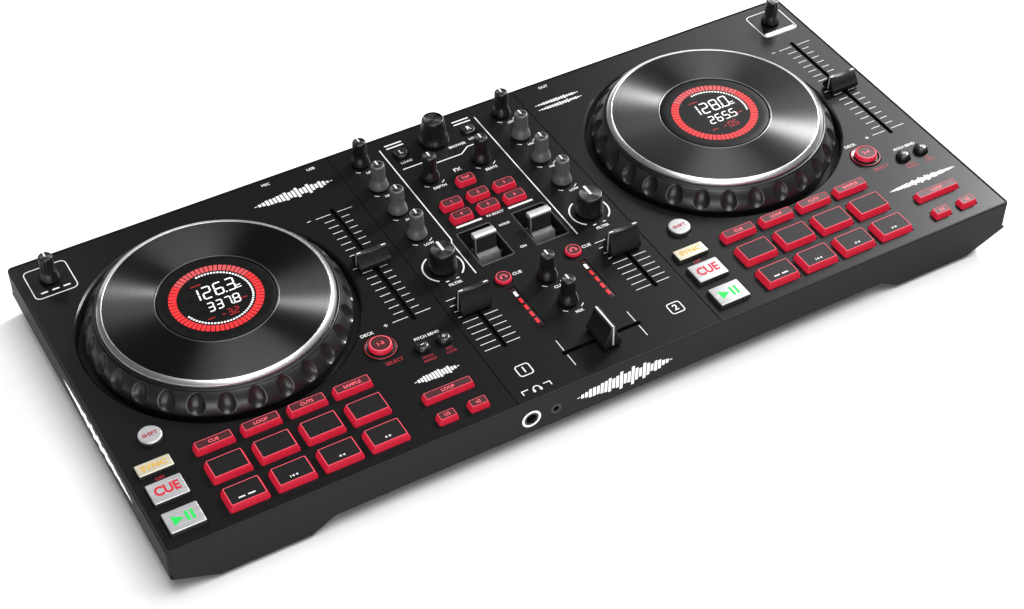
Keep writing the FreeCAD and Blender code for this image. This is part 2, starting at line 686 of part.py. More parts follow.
def make_rotary_pots():
    pots = []
    for centre, kind in knob_places().values():
        size = POT_SIZE + (ENCODER_EXTRA if kind == "browse" else 0.0)
        body = block(centre, size, size, (BOARD_TOP, BOARD_TOP + POT_HEIGHT))
        bore = disc(centre, SHAFT_RADIUS + SHAFT_FIT, (SHAFT_BOTTOM - 0.5, BOARD_TOP + POT_HEIGHT + 1))
        pots.append(body.cut(bore))
    return pots


def make_fader_tracks():
    tracks = []
    for middle, _, travel, direction, _ in fader_places().values():
        z = (BOARD_TOP, BOARD_TOP + TRACK_HEIGHT)
        length = travel + 2 * TRACK_END
        channel = travel + STEM_LENGTH + 2 * STEM_GAP
        width = STEM_THICKNESS + 2 * STEM_GAP
        if direction == "x":
            body = block(middle, length, TRACK_WIDTH, z)
            slot = block(middle, channel, width, (z[0] + TRACK_FLOOR, z[1] + 1))
        else:
            body = block(middle, TRACK_WIDTH, length, z)
            slot = block(middle, width, channel, (z[0] + TRACK_FLOOR, z[1] + 1))
        tracks.append(body.cut(slot))
    return tracks


def make_meters():
    z = (BOARD_TOP, PANEL_TOP - METER_SUNK)
    return [block(centre, METER_WIDTH, METER_LENGTH, z) for centre in meter_centres()]


# --- sockets --------------------------------------------------------------------------------
def jack(x, facing, barrel, bore, body_size, bore_depth):
    """A jack socket in the front (facing -1) or back (facing 1) wall, flush with the wall."""
    face = facing * CASE_DEPTH / 2
    inside = face - facing * WALL
    end = inside - facing * body_size[1]
    neck = rod_y(x, JACK_Z, barrel, tuple(sorted((face, inside))))
    y = tuple(sorted((inside, end)))
    body = slab((x - body_size[0] / 2, x + body_size[0] / 2), y,
                (JACK_Z - body_size[2] / 2, JACK_Z + body_size[2] / 2))
    hole = rod_y(x, JACK_Z, bore, tuple(sorted((face + facing, face - facing * bore_depth))))
    return joined([neck, body]).cut(hole)


def make_headphone_jacks():
    big = jack(BIG_JACK_X, -1, BIG_BARREL, BIG_JACK_BORE, BIG_JACK_BODY, BIG_JACK_REACH)
    small = jack(SMALL_JACK_X, -1, SMALL_BARREL, SMALL_JACK_BORE, SMALL_JACK_BODY,
                 SMALL_JACK_REACH)
    return [big, small]


def make_rear_sockets():
    back = CASE_DEPTH / 2
    mic = jack(MIC_X, 1, BIG_BARREL, BIG_JACK_BORE, BIG_JACK_BODY, BIG_JACK_REACH)
    usb_body = slab((USB_X - USB_SHELL[0] / 2, USB_X + USB_SHELL[0] / 2), (back - USB_LENGTH, back),
                    (JACK_Z - USB_SHELL[1] / 2, JACK_Z + USB_SHELL[1] / 2))
    mouth = slab((USB_X - USB_MOUTH[0] / 2, USB_X + USB_MOUTH[0] / 2), (back - USB_REACH, back + 1),
                 (JACK_Z - USB_MOUTH[1] / 2, JACK_Z + USB_MOUTH[1] / 2))
    sockets = [mic, usb_body.cut(mouth)]
    bay_floor = back - BAY_DEPTH
    for x in phono_xs():
        barrel = rod_y(x, PHONO_Z, PHONO_BARREL, (bay_floor, back - PHONO_SUNK))
        root = rod_y(x, PHONO_Z, PHONO_ROOT, (bay_floor - BAY_WALL, bay_floor))
        half_x, length, half_z = PHONO_BODY
        body = slab((x - half_x, x + half_x), (bay_floor - BAY_WALL - length, bay_floor - BAY_WALL),
                    (PHONO_Z - half_z, PHONO_Z + half_z))
        hole = rod_y(x, PHONO_Z, PHONO_BORE, (bay_floor - BAY_WALL, back + 1))
        sockets.append(joined([barrel, root, body]).cut(hole))
    return sockets


# --- jogs -----------------------------------------------------------------------------------
def make_jog_post(centre):
    flange = disc(centre, POST_FLANGE, (WELL_FLOOR_TOP, WELL_FLOOR_TOP + POST_FLANGE_SHEET))
    post = disc(centre, POST_RADIUS, (WELL_FLOOR_TOP, JOG_TOP - DISPLAY_GAP - DISPLAY_SHEET))
    bore = disc(centre, POST_BORE, (WELL_FLOOR_TOP - 1, JOG_TOP))
    return joined([flange, post]).cut(bore)


def make_display(centre):
    top = JOG_TOP - DISPLAY_GAP
    edge = DISPLAY_BEVEL
    profile = [
        (0, top - DISPLAY_SHEET),
        (DISPLAY_RADIUS, top - DISPLAY_SHEET),
        (DISPLAY_RADIUS, top - edge),
        (DISPLAY_RADIUS - edge, top),
        (0, top),
    ]
    return turned(profile, centre)


def make_jog_plate(centre):
    under = JOG_TOP - PLATE_SHEET
    profile = [
        (PLATE_HOLE, under),
        (PLATE_OUTER, under),
        (PLATE_OUTER, JOG_TOP - PLATE_BEVEL[1]),
        (PLATE_OUTER - PLATE_BEVEL[0], JOG_TOP),
        (PLATE_HOLE, JOG_TOP),
    ]
    return turned(profile, centre)


def dimple_cutter():
    """An egg shape, narrow end up, standing at the origin, that leaves one tall finger dimple."""
    point = Vector(0, 0, DIMPLE_POINT)
    widest = Vector(DIMPLE_RADIUS, 0, DIMPLE_WIDEST)
    bottom = Vector(0, 0, DIMPLE_BOTTOM)
    upper = Part.Arc(point, Vector(DIMPLE_UPPER[0] * DIMPLE_RADIUS, 0, DIMPLE_UPPER[1]), widest)
    lower = Part.Arc(widest, Vector(DIMPLE_LOWER[0] * DIMPLE_RADIUS, 0, DIMPLE_LOWER[1]), bottom)
    axis = Part.LineSegment(bottom, point)
    face = Part.Face(Part.Wire([upper.toShape(), lower.toShape(), axis.toShape()]))
    return face.revolve(Vector(0, 0, 0), Vector(0, 0, 1), 360)


def make_jog_wheel(centre, phase):
    shoulder = JOG_TOP - PLATE_SHEET
    web_under = WELL_FLOOR_TOP + WHEEL_WEB_GAP
    web_top = web_under + WHEEL_WEB
    skirt_z = PANEL_TOP + RIM_RISE
    hub = POST_RADIUS + POST_FIT
    inner, outer = INNER_RING
    ledge_inner, ledge_outer, ledge = OUTER_LEDGE
    profile = [
        (hub, web_under),
        (SKIRT_RADIUS - 2.2, web_under),
        (SKIRT_RADIUS, skirt_z - SKIRT_LIP),
        (SKIRT_RADIUS, skirt_z),
        (SHOULDER_RADIUS, shoulder - SHOULDER_BEVEL, FLANK_MIDDLE[0], skirt_z + FLANK_MIDDLE[1]),
        (SHOULDER_RADIUS - SHOULDER_BEVEL, shoulder),
        (ledge_inner, shoulder),
        (ledge_inner, shoulder - ledge),
        (ledge_outer, shoulder - ledge),
        (SHOULDER_RADIUS - 0.4, web_top),
        (outer, web_top),
        (outer, shoulder),
        (inner, shoulder),
        (inner, web_top),
        (POST_RADIUS + HUB_WALL, web_top),
        (POST_RADIUS + HUB_WALL, web_top + HUB_RISE),
        (hub, web_top + HUB_RISE),
    ]
    wheel = turned(profile, (0, 0))
    cutter = dimple_cutter()
    rise = shoulder - skirt_z
    lean = math.degrees(math.atan2(SKIRT_RADIUS - SHOULDER_RADIUS, rise))
    cutter.rotate(Vector(0, 0, 0), Vector(0, 1, 0), -lean)
    reach = (SKIRT_RADIUS + SHOULDER_RADIUS) / 2 + DIMPLE_OFFSET
    cutter.translate(Vector(reach, 0, skirt_z + 0.5 * rise))
    cutters = []
    for i in range(DIMPLE_COUNT):
        one = cutter.copy()
        one.rotate(Vector(0, 0, 0), Vector(0, 0, 1), phase + 360.0 * i / DIMPLE_COUNT)
        cutters.append(one)
    wheel = wheel.cut(cutters)
    wheel.translate(Vector(centre[0], centre[1], 0))
    return wheel


# --- faders ---------------------------------------------------------------------------------
def make_fader(rest, direction, height):
    """A cap with a raised cross ridge, a finger dip in the ridge, and its stem.

    It is drawn for travel along Y and turned a quarter for travel along X.
    """
    base = PANEL_TOP + CAP_GAP
    top = PANEL_TOP + height + CAP_GAP
    foot = base + CAP_FOOT
    bow_y = 0.5 * (CAP_HALF_TRAVEL + RIDGE_HALF) - CAP_HOLLOW
    bow_z = 0.5 * (foot + top - CAP_HOLLOW)
    side_view = [
        (-CAP_HALF_TRAVEL, base),
        (CAP_HALF_TRAVEL, base),
        (CAP_HALF_TRAVEL, foot),
        (RIDGE_HALF, top, bow_y, bow_z),
        (-RIDGE_HALF, top),
        (-CAP_HALF_TRAVEL, foot, -bow_y, bow_z),
    ]
    body = extruded_along_x(side_view, (-CAP_HALF_BASE, CAP_HALF_BASE))
    front_view = [
        (-CAP_HALF_BASE, base),
        (CAP_HALF_BASE, base),
        (CAP_HALF_RIDGE, top + 0.01),
        (-CAP_HALF_RIDGE, top + 0.01),
    ]
    through = (-2 * CAP_HALF_BASE, 2 * CAP_HALF_BASE)
    body = body.common(extruded_along_y(front_view, through))
    dip = rod_y(0, top + RIDGE_DIP_RADIUS - RIDGE_DIP, RIDGE_DIP_RADIUS, through)
    stem = block((0, 0), STEM_THICKNESS, STEM_LENGTH, (BOARD_TOP + STEM_CLEARANCE, base + 1))
    fader = joined([body.cut(dip), stem])
    if direction == "x":
        fader.rotate(Vector(0, 0, 0), Vector(0, 0, 1), 90)
    fader.translate(Vector(rest[0], rest[1], 0))
    return fader


# --- knobs ----------------------------------------------------------------------------------
def make_knob(centre, kind):
    """A fluted knob with a flange and a dished crown, in one piece with its shaft."""
    points, count, groove, low, waist, lean = KNOB_STYLES[kind]
    outer = []
    for point in points:
        if len(point) == 4:
            outer.append((point[0], PANEL_TOP + point[1], point[2], PANEL_TOP + point[3]))
        else:
            outer.append((point[0], PANEL_TOP + point[1]))
    crown_radius, crown_z = outer[-1]
    rim, depth = KNOB_DISH
    dish = crown_radius - rim
    profile = [(0, SHAFT_BOTTOM), (SHAFT_RADIUS, SHAFT_BOTTOM), (SHAFT_RADIUS, outer[0][1])]
    profile += outer + [(dish, crown_z), (dish - depth, crown_z - depth), (0, crown_z - depth)]
    body = turned(profile, (0, 0))
    grooves = []
    for i in range(count):
        one = disc((0, 0), groove, (low - 10, 10))
        one.rotate(Vector(0, 0, 0), Vector(0, 1, 0), -lean)
        one.translate(Vector(waist + 0.2 * groove, 0, PANEL_TOP + 10))
        one.rotate(Vector(0, 0, 0), Vector(0, 0, 1), 360.0 * (i + 0.5) / count)
        grooves.append(one)
    body = body.cut(grooves)
    body.translate(Vector(centre[0], centre[1], 0))
    return body


# --- keys -----------------------------------------------------------------------------------
def key_foot(centre):
    """The plunger under a key, over its switch."""
    low = FLANGE_TOP - FLANGE_SHEET - PLUNGER_LENGTH
    return disc(centre, PLUNGER_RADIUS, (low, FLANGE_TOP - FLANGE_SHEET))


def make_rectangle_key(centre, width, depth, rise):
    top = PANEL_TOP + rise
    cap = rounded_block(centre, width, depth, KEY_CORNER_RADIUS, (FLANGE_TOP - KEY_BEVEL, top))
    crown = [edge for edge in cap.Edges if abs(edge.BoundBox.ZMin - top) < 1e-6]
    cap = cap.makeChamfer(KEY_BEVEL, crown)
    lip = 2 * (FLANGE_LIP if depth >= NARROW_KEY else NARROW_FLANGE_LIP)
    flange = block(centre, width + lip, depth + lip, (FLANGE_TOP - FLANGE_SHEET, FLANGE_TOP))
    return joined([cap, flange, key_foot(centre)])


def make_round_key(centre, radius, rise):
    """A round key; one wider than a fingertip has a low collar round a smaller core."""
    top = PANEL_TOP + rise
    collared = radius > FINGERTIP_RADIUS
    core = radius - COLLAR_WIDTH if collared else radius
    profile = [
        (0, FLANGE_TOP - FLANGE_SHEET),
        (radius + FLANGE_LIP, FLANGE_TOP - FLANGE_SHEET),
        (radius + FLANGE_LIP, FLANGE_TOP),
        (radius, FLANGE_TOP),
    ]
    if collared:
        profile += [(radius, PANEL_TOP + COLLAR_RISE), (core, PANEL_TOP + COLLAR_RISE)]
    profile += [(core, top - 0.9), (core - 1.0, top, core - 0.3, top - 0.3), (0, top)]
    return joined([turned(profile, centre), key_foot(centre)])


# --- paddles --------------------------------------------------------------------------------
def make_paddle(centre):
    """A hub drum on two axle stubs, with a blade that ends in a thick finger bar."""
    x = (centre[0] - PADDLE_HALF_WIDTH, centre[0] + PADDLE_HALF_WIDTH)
    y = centre[1]
    hub = rod_x(y, PADDLE_AXIS_Z, PADDLE_HUB_RADIUS, x)
    reach = PADDLE_WELL_HALF_X + PADDLE_WELL_WALL
    axle = rod_x(y, PADDLE_AXIS_Z, AXLE_RADIUS, (centre[0] - reach, centre[0] + reach))
    blade = extruded_along_x([
        (y - 2.0, PADDLE_AXIS_Z + 4),
        (y - 0.9, PADDLE_TOP - 1.6),
        (y - 0.1, PADDLE_TOP, y - 0.8, PADDLE_TOP - 0.5),
        (y + 3.4, PADDLE_TOP),
        (y + 4.4, PADDLE_TOP - 1.8, y + 4.3, PADDLE_TOP - 0.6),
        (y + 2.4, PADDLE_TOP - 3.4),
        (y + 2.8, PADDLE_AXIS_Z + 4),
    ], x)
    return joined([hub, axle, blade])


# --- the whole object -----------------------------------------------------------------------
def keep_keys(rectangles, rounds, suffix):
    """Keys that share a name go in one node as separate solids."""
    names = list(rectangles) + [name for name in rounds if name not in rectangles]
    for name in names:
        solids = [make_rectangle_key(*key) for key in rectangles.get(name, [])]
        solids += [make_round_key(*key) for key in rounds.get(name, [])]
        keep(name + suffix, solids)


def main():
    os.makedirs("parts", exist_ok=True)
    keep("faceplate", make_faceplate())
    keep("upper_case", make_upper_case())
    keep("lower_case", make_lower_case())
    keep("rubber_feet", make_feet())
    keep("case_screws", make_screws())
    keep("circuit_boards", make_boards())
    keep("rotary_potentiometers", make_rotary_pots())
    keep("fader_tracks", make_fader_tracks())
    keep("level_meters", make_meters())
    keep("headphone_jacks", make_headphone_jacks())
    keep("rear_sockets", make_rear_sockets())
    centres = {side: (x, JOG_Y) for side, x in DECK_X.items()}
    keep("jog_posts", [make_jog_post(centre) for centre in centres.values()])
    keep("jog_displays", [make_display(centre) for centre in centres.values()])
    for side, centre in centres.items():
        keep("jog_wheel_" + side, make_jog_wheel(centre, DIMPLE_PHASE[side]))
        keep("jog_plate_" + side, make_jog_plate(centre))
        keep_keys(rectangle_keys(side), round_keys(side), "_" + side)
    keep_keys(mixer_rectangle_keys(), mixer_round_keys(), "")
    for name, (_, rest, _, direction, height) in fader_places().items():
        keep(name, make_fader(rest, direction, height))
    for name, (centre, kind) in knob_places().items():
        keep(name, make_knob(centre, kind))
    for name, centre in paddle_centres().items():
        keep(name, make_paddle(centre))


main()
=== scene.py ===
"""Studio scene of the two-deck DJ controller: finishes, printed marks and fine pieces on the CAD frame."""

import json
import math

import bpy
from mathutils import Matrix, Vector


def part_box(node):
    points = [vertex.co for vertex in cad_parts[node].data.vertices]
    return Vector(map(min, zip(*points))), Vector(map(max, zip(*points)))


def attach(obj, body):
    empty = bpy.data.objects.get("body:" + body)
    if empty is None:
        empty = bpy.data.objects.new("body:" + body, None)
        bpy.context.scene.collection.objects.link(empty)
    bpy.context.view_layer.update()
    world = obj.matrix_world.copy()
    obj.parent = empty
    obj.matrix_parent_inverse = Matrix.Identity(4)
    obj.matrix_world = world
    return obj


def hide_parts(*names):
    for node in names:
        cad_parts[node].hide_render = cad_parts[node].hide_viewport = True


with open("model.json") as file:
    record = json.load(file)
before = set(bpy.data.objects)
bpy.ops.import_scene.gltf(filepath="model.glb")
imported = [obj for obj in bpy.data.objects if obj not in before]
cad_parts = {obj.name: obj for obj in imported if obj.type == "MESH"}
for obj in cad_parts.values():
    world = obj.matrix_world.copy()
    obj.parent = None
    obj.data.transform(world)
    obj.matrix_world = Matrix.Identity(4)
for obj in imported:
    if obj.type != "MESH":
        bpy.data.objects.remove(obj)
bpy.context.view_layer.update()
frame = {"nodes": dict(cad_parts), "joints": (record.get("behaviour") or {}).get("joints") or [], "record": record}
NODES = frame["nodes"]

MM = 0.001
SIDES = ("left", "right")
CHASSIS = "chassis"


# --- measures read from the frame, in millimetres ---
def box(node):
    low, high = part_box(node)
    return low / MM, high / MM


def middle(node):
    low, high = box(node)
    return (low + high) / 2


def solids(node, above=-math.inf):
    """(lowest, highest) corners of each separate solid of a node, from its points above a height."""
    mesh = NODES[node].data
    number = {}
    own = []
    for vertex in mesh.vertices:
        key = tuple(round(c, 6) for c in vertex.co)
        own.append(number.setdefault(key, len(number)))
    parent = list(range(len(number)))

    def root(i):
        while parent[i] != i:
            parent[i] = parent[parent[i]]
            i = parent[i]
        return i

    for face in mesh.polygons:
        first = root(own[face.vertices[0]])
        for v in face.vertices[1:]:
            parent[root(own[v])] = first
    groups = {}
    for key, i in number.items():
        if key[2] / MM > above:
            groups.setdefault(root(i), []).append(Vector(key) / MM)
    boxes = []
    for points in groups.values():
        low = Vector(min(p[k] for p in points) for k in range(3))
        high = Vector(max(p[k] for p in points) for k in range(3))
        boxes.append((low, high))
    return sorted(boxes, key=lambda b: (round(-b[0].y), b[0].x))


PANEL = box("faceplate")[1].z
CASE_LOW, CASE_HIGH = box("upper_case")
JOG = {side: middle("jog_plate_" + side) for side in SIDES}
MOUNTS = {m["name"]: Vector(m["pos_m"]) / MM for m in frame["record"]["mounts"]}
JOG_TOP = box("jog_plate_left")[1].z
MIXER_X = (middle("filter_knob_left").x + middle("filter_knob_right").x) / 2


# --- building meshes ---
class Shape:
    """Points (in millimetres) and faces of one piece, each face with the number of its material."""

    def __init__(self):
        self.points = []
        self.faces = []
        self.numbers = []

    def add(self, points, faces, number=0):
        start = len(self.points)
        self.points += [tuple(p) for p in points]
        self.faces += [[start + i for i in face] for face in faces]
        self.numbers += [number] * len(faces)

    def rings(self, rings, numbers=(0,), low=True, high=True):
        """A skin through rings of equal length; band i takes numbers[i], and the last number repeats."""
        size = len(rings[0])
        start = len(self.points)
        last = len(numbers) - 1
        for ring in rings:
            self.points += [tuple(p) for p in ring]
        for band in range(len(rings) - 1):
            a = start + band * size
            for i in range(size):
                j = (i + 1) % size
                self.faces.append([a + i, a + j, a + size + j, a + size + i])
                self.numbers.append(numbers[min(band, last)])
        if low:
            self.faces.append([start + i for i in reversed(range(size))])
            self.numbers.append(numbers[0])
        if high:
            top = start + (len(rings) - 1) * size
            self.faces.append([top + i for i in range(size)])
            self.numbers.append(numbers[-1])

    def make(self, name, finishes, body, slot, replaces=(), centre=(0, 0, 0), sharp=32, soft=None):
        """Builds the piece about its centre and rides it on its body, in place of the CAD nodes named.

        Edges over sharp degrees stay hard. soft holds the width and the least angle of a rounding.
        """
        mesh = bpy.data.meshes.new(name)
        mesh.from_pydata([(Vector(p) - Vector(centre)) * MM for p in self.points], [], self.faces)
        for finish in finishes:
            mesh.materials.append(finish)
        mesh.polygons.foreach_set("material_index", self.numbers)
        mesh.validate()
        mesh.shade_smooth()
        mesh.set_sharp_from_angle(angle=math.radians(sharp))
        piece = bpy.data.objects.new(name, mesh)
        piece.location = Vector(centre) * MM
        bpy.context.scene.collection.objects.link(piece)
        if soft:
            soften(piece, *soft)
        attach(piece, body)
        if replaces:
            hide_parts(*replaces)


def soften(piece, width, angle):
    """Rounds the edges of a piece that are sharper than angle, in millimetres."""
    bevel = piece.modifiers.new("soft_edges", "BEVEL")
    bevel.width = width * MM
    bevel.segments = 2
    bevel.limit_method = "ANGLE"
    bevel.angle_limit = math.radians(angle)
    bevel.harden_normals = True


def circle(centre, radius, z, steps=64, phase=0.0):
    turn = 2 * math.pi / steps
    return [(centre[0] + radius * math.cos(phase + i * turn),
             centre[1] + radius * math.sin(phase + i * turn), z) for i in range(steps)]


LEAST_CORNER = 0.05
CORNER_SPARE = 0.01        # straight edge left at least between two corners


def rounded(centre, width, depth, radius, z, steps=5):
    """A rectangle with round corners, anticlockwise."""
    radius = max(LEAST_CORNER, min(radius, width / 2 - CORNER_SPARE, depth / 2 - CORNER_SPARE))
    points = []
    for quarter, (sx, sy) in enumerate(((1, 1), (-1, 1), (-1, -1), (1, -1))):
        cx = centre[0] + sx * (width / 2 - radius)
        cy = centre[1] + sy * (depth / 2 - radius)
        for i in range(steps + 1):
            angle = math.pi / 2 * (quarter + i / steps)
            points.append((cx + radius * math.cos(angle), cy + radius * math.sin(angle), z))
    return points


def turned(centre, profile, steps, phase=0.0):
    """Rings through (radius, height) points; the height is above the faceplate."""
    return [circle(centre, radius, PANEL + height, steps, phase) for radius, height in profile]


def lathe(shape, centre, profile, numbers=(0,), steps=96, closed=False):
    """A turned skin, with both ends filled or, when closed, run back to its first ring."""
    rings = turned(centre, profile + profile[:1] if closed else profile, steps)
    shape.rings(rings, numbers, low=not closed, high=not closed)


# --- printed marks ---
INK = 0.05                 # thickness of printed ink
INK_SUNK = 0.02
SHARPEST_MITRE = 0.3       # keeps the corners of a line from running out to long points
WAVE_SWELL = 0.6           # under 1 keeps the row tall further towards its ends
WAVE_BEAT = 0.55           # the share of a bar's height that varies from bar to bar
WAVE_LEAST = 0.25          # half the height of the shortest bar


class Print(Shape):
    """Flat marks with a small real thickness, on a plane that faces up unless turned by lay()."""

    def __init__(self, height=PANEL):
        super().__init__()
        self.z = height

    def area(self, points):
        """A closed convex outline, anticlockwise."""
        low = [(x, y, self.z - INK_SUNK) for x, y in points]
        high = [(x, y, self.z + INK) for x, y in points]
        self.rings([low, high])

    def line(self, a, b, width):
        along = (Vector(b) - Vector(a)).normalized()
        side = Vector((-along.y, along.x)) * width / 2
        a, b = Vector(a), Vector(b)
        self.area([a - side, b - side, b + side, a + side])

    def dash(self, x0, x1, y, width):
        self.line((x0, y), (x1, y), width)

    def upright(self, x, y0, y1, width):
        self.line((x, y0), (x, y1), width)

    def arrow(self, x, y, length, half):
        """A triangle with its tip at x, which points to the left when the length is negative."""
        foot, head = (x - length, y - half), (x - length, y + half)
        self.area([foot, (x, y), head] if length > 0 else [(x, y), foot, head])

    def path(self, points, width, closed=False):
        """A line of even width with mitred corners."""
        count = len(points)
        outer, inner = [], []
        for i, point in enumerate(points):
            here = Vector(point[:2])
            before = Vector(points[(i - 1) % count][:2])
            after = Vector(points[(i + 1) % count][:2])
            first = (here - before).normalized() if (i or closed) else (after - here).normalized()
            second = (after - here).normalized() if (i < count - 1 or closed) else first
            mean = (first + second).normalized()
            reach = width / 2 / max(SHARPEST_MITRE, mean.dot(first))
            side = Vector((-mean.y, mean.x)) * reach
            outer.append(here + side)
            inner.append(here - side)
        levels = ((inner, -INK_SUNK), (outer, -INK_SUNK), (outer, INK), (inner, INK))
        start = len(self.points)
        for edge, lift in levels:
            self.points += [(p.x, p.y, self.z + lift) for p in edge]
        spans = count if closed else count - 1
        for level in range(4):
            a = start + level * count
            b = start + (level + 1) % 4 * count
            for i in range(spans):
                j = (i + 1) % count
                self.faces.append([a + i, a + j, b + j, b + i])
                self.numbers.append(0)
        if not closed:
            for i in (0, count - 1):
                face = [start + level * count + i for level in range(4)]
                self.faces.append(face if i else face[::-1])
                self.numbers.append(0)

    def frame(self, centre, width, depth, radius, line):
        self.path(rounded(centre, width, depth, radius, 0), line, closed=True)

    def arc(self, centre, radius, start, end, width, steps=40):
        points = []
        for i in range(steps + 1):
            angle = math.radians(start + (end - start) * i / steps)
            points.append((centre[0] + radius * math.cos(angle), centre[1] + radius * math.sin(angle)))
        self.path(points, width)

    def disc(self, centre, radius, steps=24):
        self.area([p[:2] for p in circle(centre, radius, 0, steps)])

    def words(self, text, centre, size, stretch=1.0, weight=0.02):
        """Short generic labels, in Blender's own font."""
        curve = bpy.data.curves.new("words", "FONT")
        curve.body = text
        curve.size = size * MM
        curve.align_x = "CENTER"
        curve.align_y = "CENTER"
        curve.offset = weight * size * MM
        curve.resolution_u = 3
        curve.extrude = (INK + INK_SUNK) / 2 * MM
        holder = bpy.data.objects.new("words", curve)
        bpy.context.scene.collection.objects.link(holder)
        bpy.context.view_layer.update()
        mesh = bpy.data.meshes.new_from_object(holder.evaluated_get(bpy.context.evaluated_depsgraph_get()))
        lift = self.z + (INK - INK_SUNK) / 2
        points = [(centre[0] + v.co.x / MM * stretch, centre[1] + v.co.y / MM, lift + v.co.z / MM)
                  for v in mesh.vertices]
        self.add(points, [list(f.vertices) for f in mesh.polygons])
        bpy.data.objects.remove(holder)
        bpy.data.meshes.remove(mesh)
        bpy.data.curves.remove(curve)

    def wave(self, centre, width, height, bars, thickness=0.74):
        """A row of upright bars, the generic mark that stands where a name would be."""
        for i in range(bars):
            t = i / (bars - 1)
            swell = math.sin(math.pi * t) ** WAVE_SWELL
            beat = 1 - WAVE_BEAT + WAVE_BEAT * abs(math.sin(2.1 * i + 0.6) * math.cos(0.9 * i))
            x = centre[0] + (t - 0.5) * width
            half = height / 2 * swell * beat + WAVE_LEAST
            step = width / (bars - 1) * thickness / 2
            self.area([(x - step, centre[1] - half), (x + step, centre[1] - half),
                       (x + step, centre[1] + half), (x - step, centre[1] + half)])

    def lay(self, matrix):
        """Moves every point, for a print on a wall instead of the faceplate."""
        self.points = [tuple(matrix @ Vector(p)) for p in self.points]


# --- materials ---
RAMP_ENDS = (0.3, 0.7)     # noise values between which the colour changes


def two_colours(nodes, links, source, colour, spread, socket):
    """Colours a socket by a noise, from a little darker to a little lighter than the colour."""
    ramp = nodes.new("ShaderNodeValToRGB")
    for end, position, share in zip(ramp.color_ramp.elements, RAMP_ENDS, (1 - spread, 1 + spread)):
        end.position = position
        end.color = (*[min(1.0, c * share) for c in colour], 1)
    links.new(source.outputs["Fac"], ramp.inputs["Fac"])
    links.new(ramp.outputs["Color"], socket)


def relief(nodes, links, source, strength, depth, shader):
    """Raises the surface by a noise; depth is in metres."""
    bump = nodes.new("ShaderNodeBump")
    bump.inputs["Strength"].default_value = strength
    bump.inputs["Distance"].default_value = depth
    links.new(source.outputs["Fac"], bump.inputs["Height"])
    links.new(bump.outputs["Normal"], shader.inputs["Normal"])


def surface(name, colour, rough, metal=0.0, grain=300, spread=0.15, rough_spread=0.08,
            bump=0.03, **sockets):
    """A shader whose colour, roughness and relief vary with a fine noise in object space.

    grain is the noise scale per metre, one number or one each for x, y and z, which makes brushed
    metal. The sockets are set on the shader as they are.
    """
    material = bpy.data.materials.new(name)
    material.use_nodes = True
    nodes = material.node_tree.nodes
    links = material.node_tree.links
    shader = nodes["Principled BSDF"]
    space = nodes.new("ShaderNodeTexCoord")
    mapping = nodes.new("ShaderNodeMapping")
    mapping.inputs["Scale"].default_value = grain if isinstance(grain, tuple) else (grain,) * 3
    noise = nodes.new("ShaderNodeTexNoise")
    noise.inputs["Scale"].default_value = 1.0
    noise.inputs["Detail"].default_value = 3.0
    links.new(space.outputs["Object"], mapping.inputs["Vector"])
    links.new(mapping.outputs["Vector"], noise.inputs["Vector"])
    two_colours(nodes, links, noise, colour, spread, shader.inputs["Base Color"])
    scale = nodes.new("ShaderNodeMapRange")
    scale.inputs["From Min"].default_value = 0.25
    scale.inputs["From Max"].default_value = 0.75
    scale.inputs["To Min"].default_value = max(0.02, rough - rough_spread)
    scale.inputs["To Max"].default_value = min(1.0, rough + rough_spread)
    links.new(noise.outputs["Fac"], scale.inputs["Value"])
    links.new(scale.outputs["Result"], shader.inputs["Roughness"])
    if bump:
        relief(nodes, links, noise, bump, 0.0002, shader)
    shader.inputs["Metallic"].default_value = metal
    for socket, value in sockets.items():
        shader.inputs[socket.replace("_", " ")].default_value = value
    return material


LAMP_BODY = 0.3            # how light the plastic of a lamp is, as a share of its glow's colour
GLOW_LOW = 0.8             # how bright the glow is where it is weakest, as a share of its brightest


def lamp(name, colour, strength, rough=0.5):
    """A lit plastic with a slightly uneven glow."""
    material = surface(name, [c * LAMP_BODY for c in colour], rough, grain=500, bump=0.01,
                       Specular_IOR_Level=0.25)
    nodes = material.node_tree.nodes
    links = material.node_tree.links
    shader = nodes["Principled BSDF"]
    noise = next(n for n in nodes if n.type == "TEX_NOISE")
    glow = nodes.new("ShaderNodeValToRGB")
    glow.color_ramp.elements[0].color = (*[c * GLOW_LOW for c in colour], 1)
    glow.color_ramp.elements[1].color = (*colour, 1)
    links.new(noise.outputs["Fac"], glow.inputs["Fac"])
    links.new(glow.outputs["Color"], shader.inputs["Emission Color"])
    shader.inputs["Emission Strength"].default_value = strength
    return material


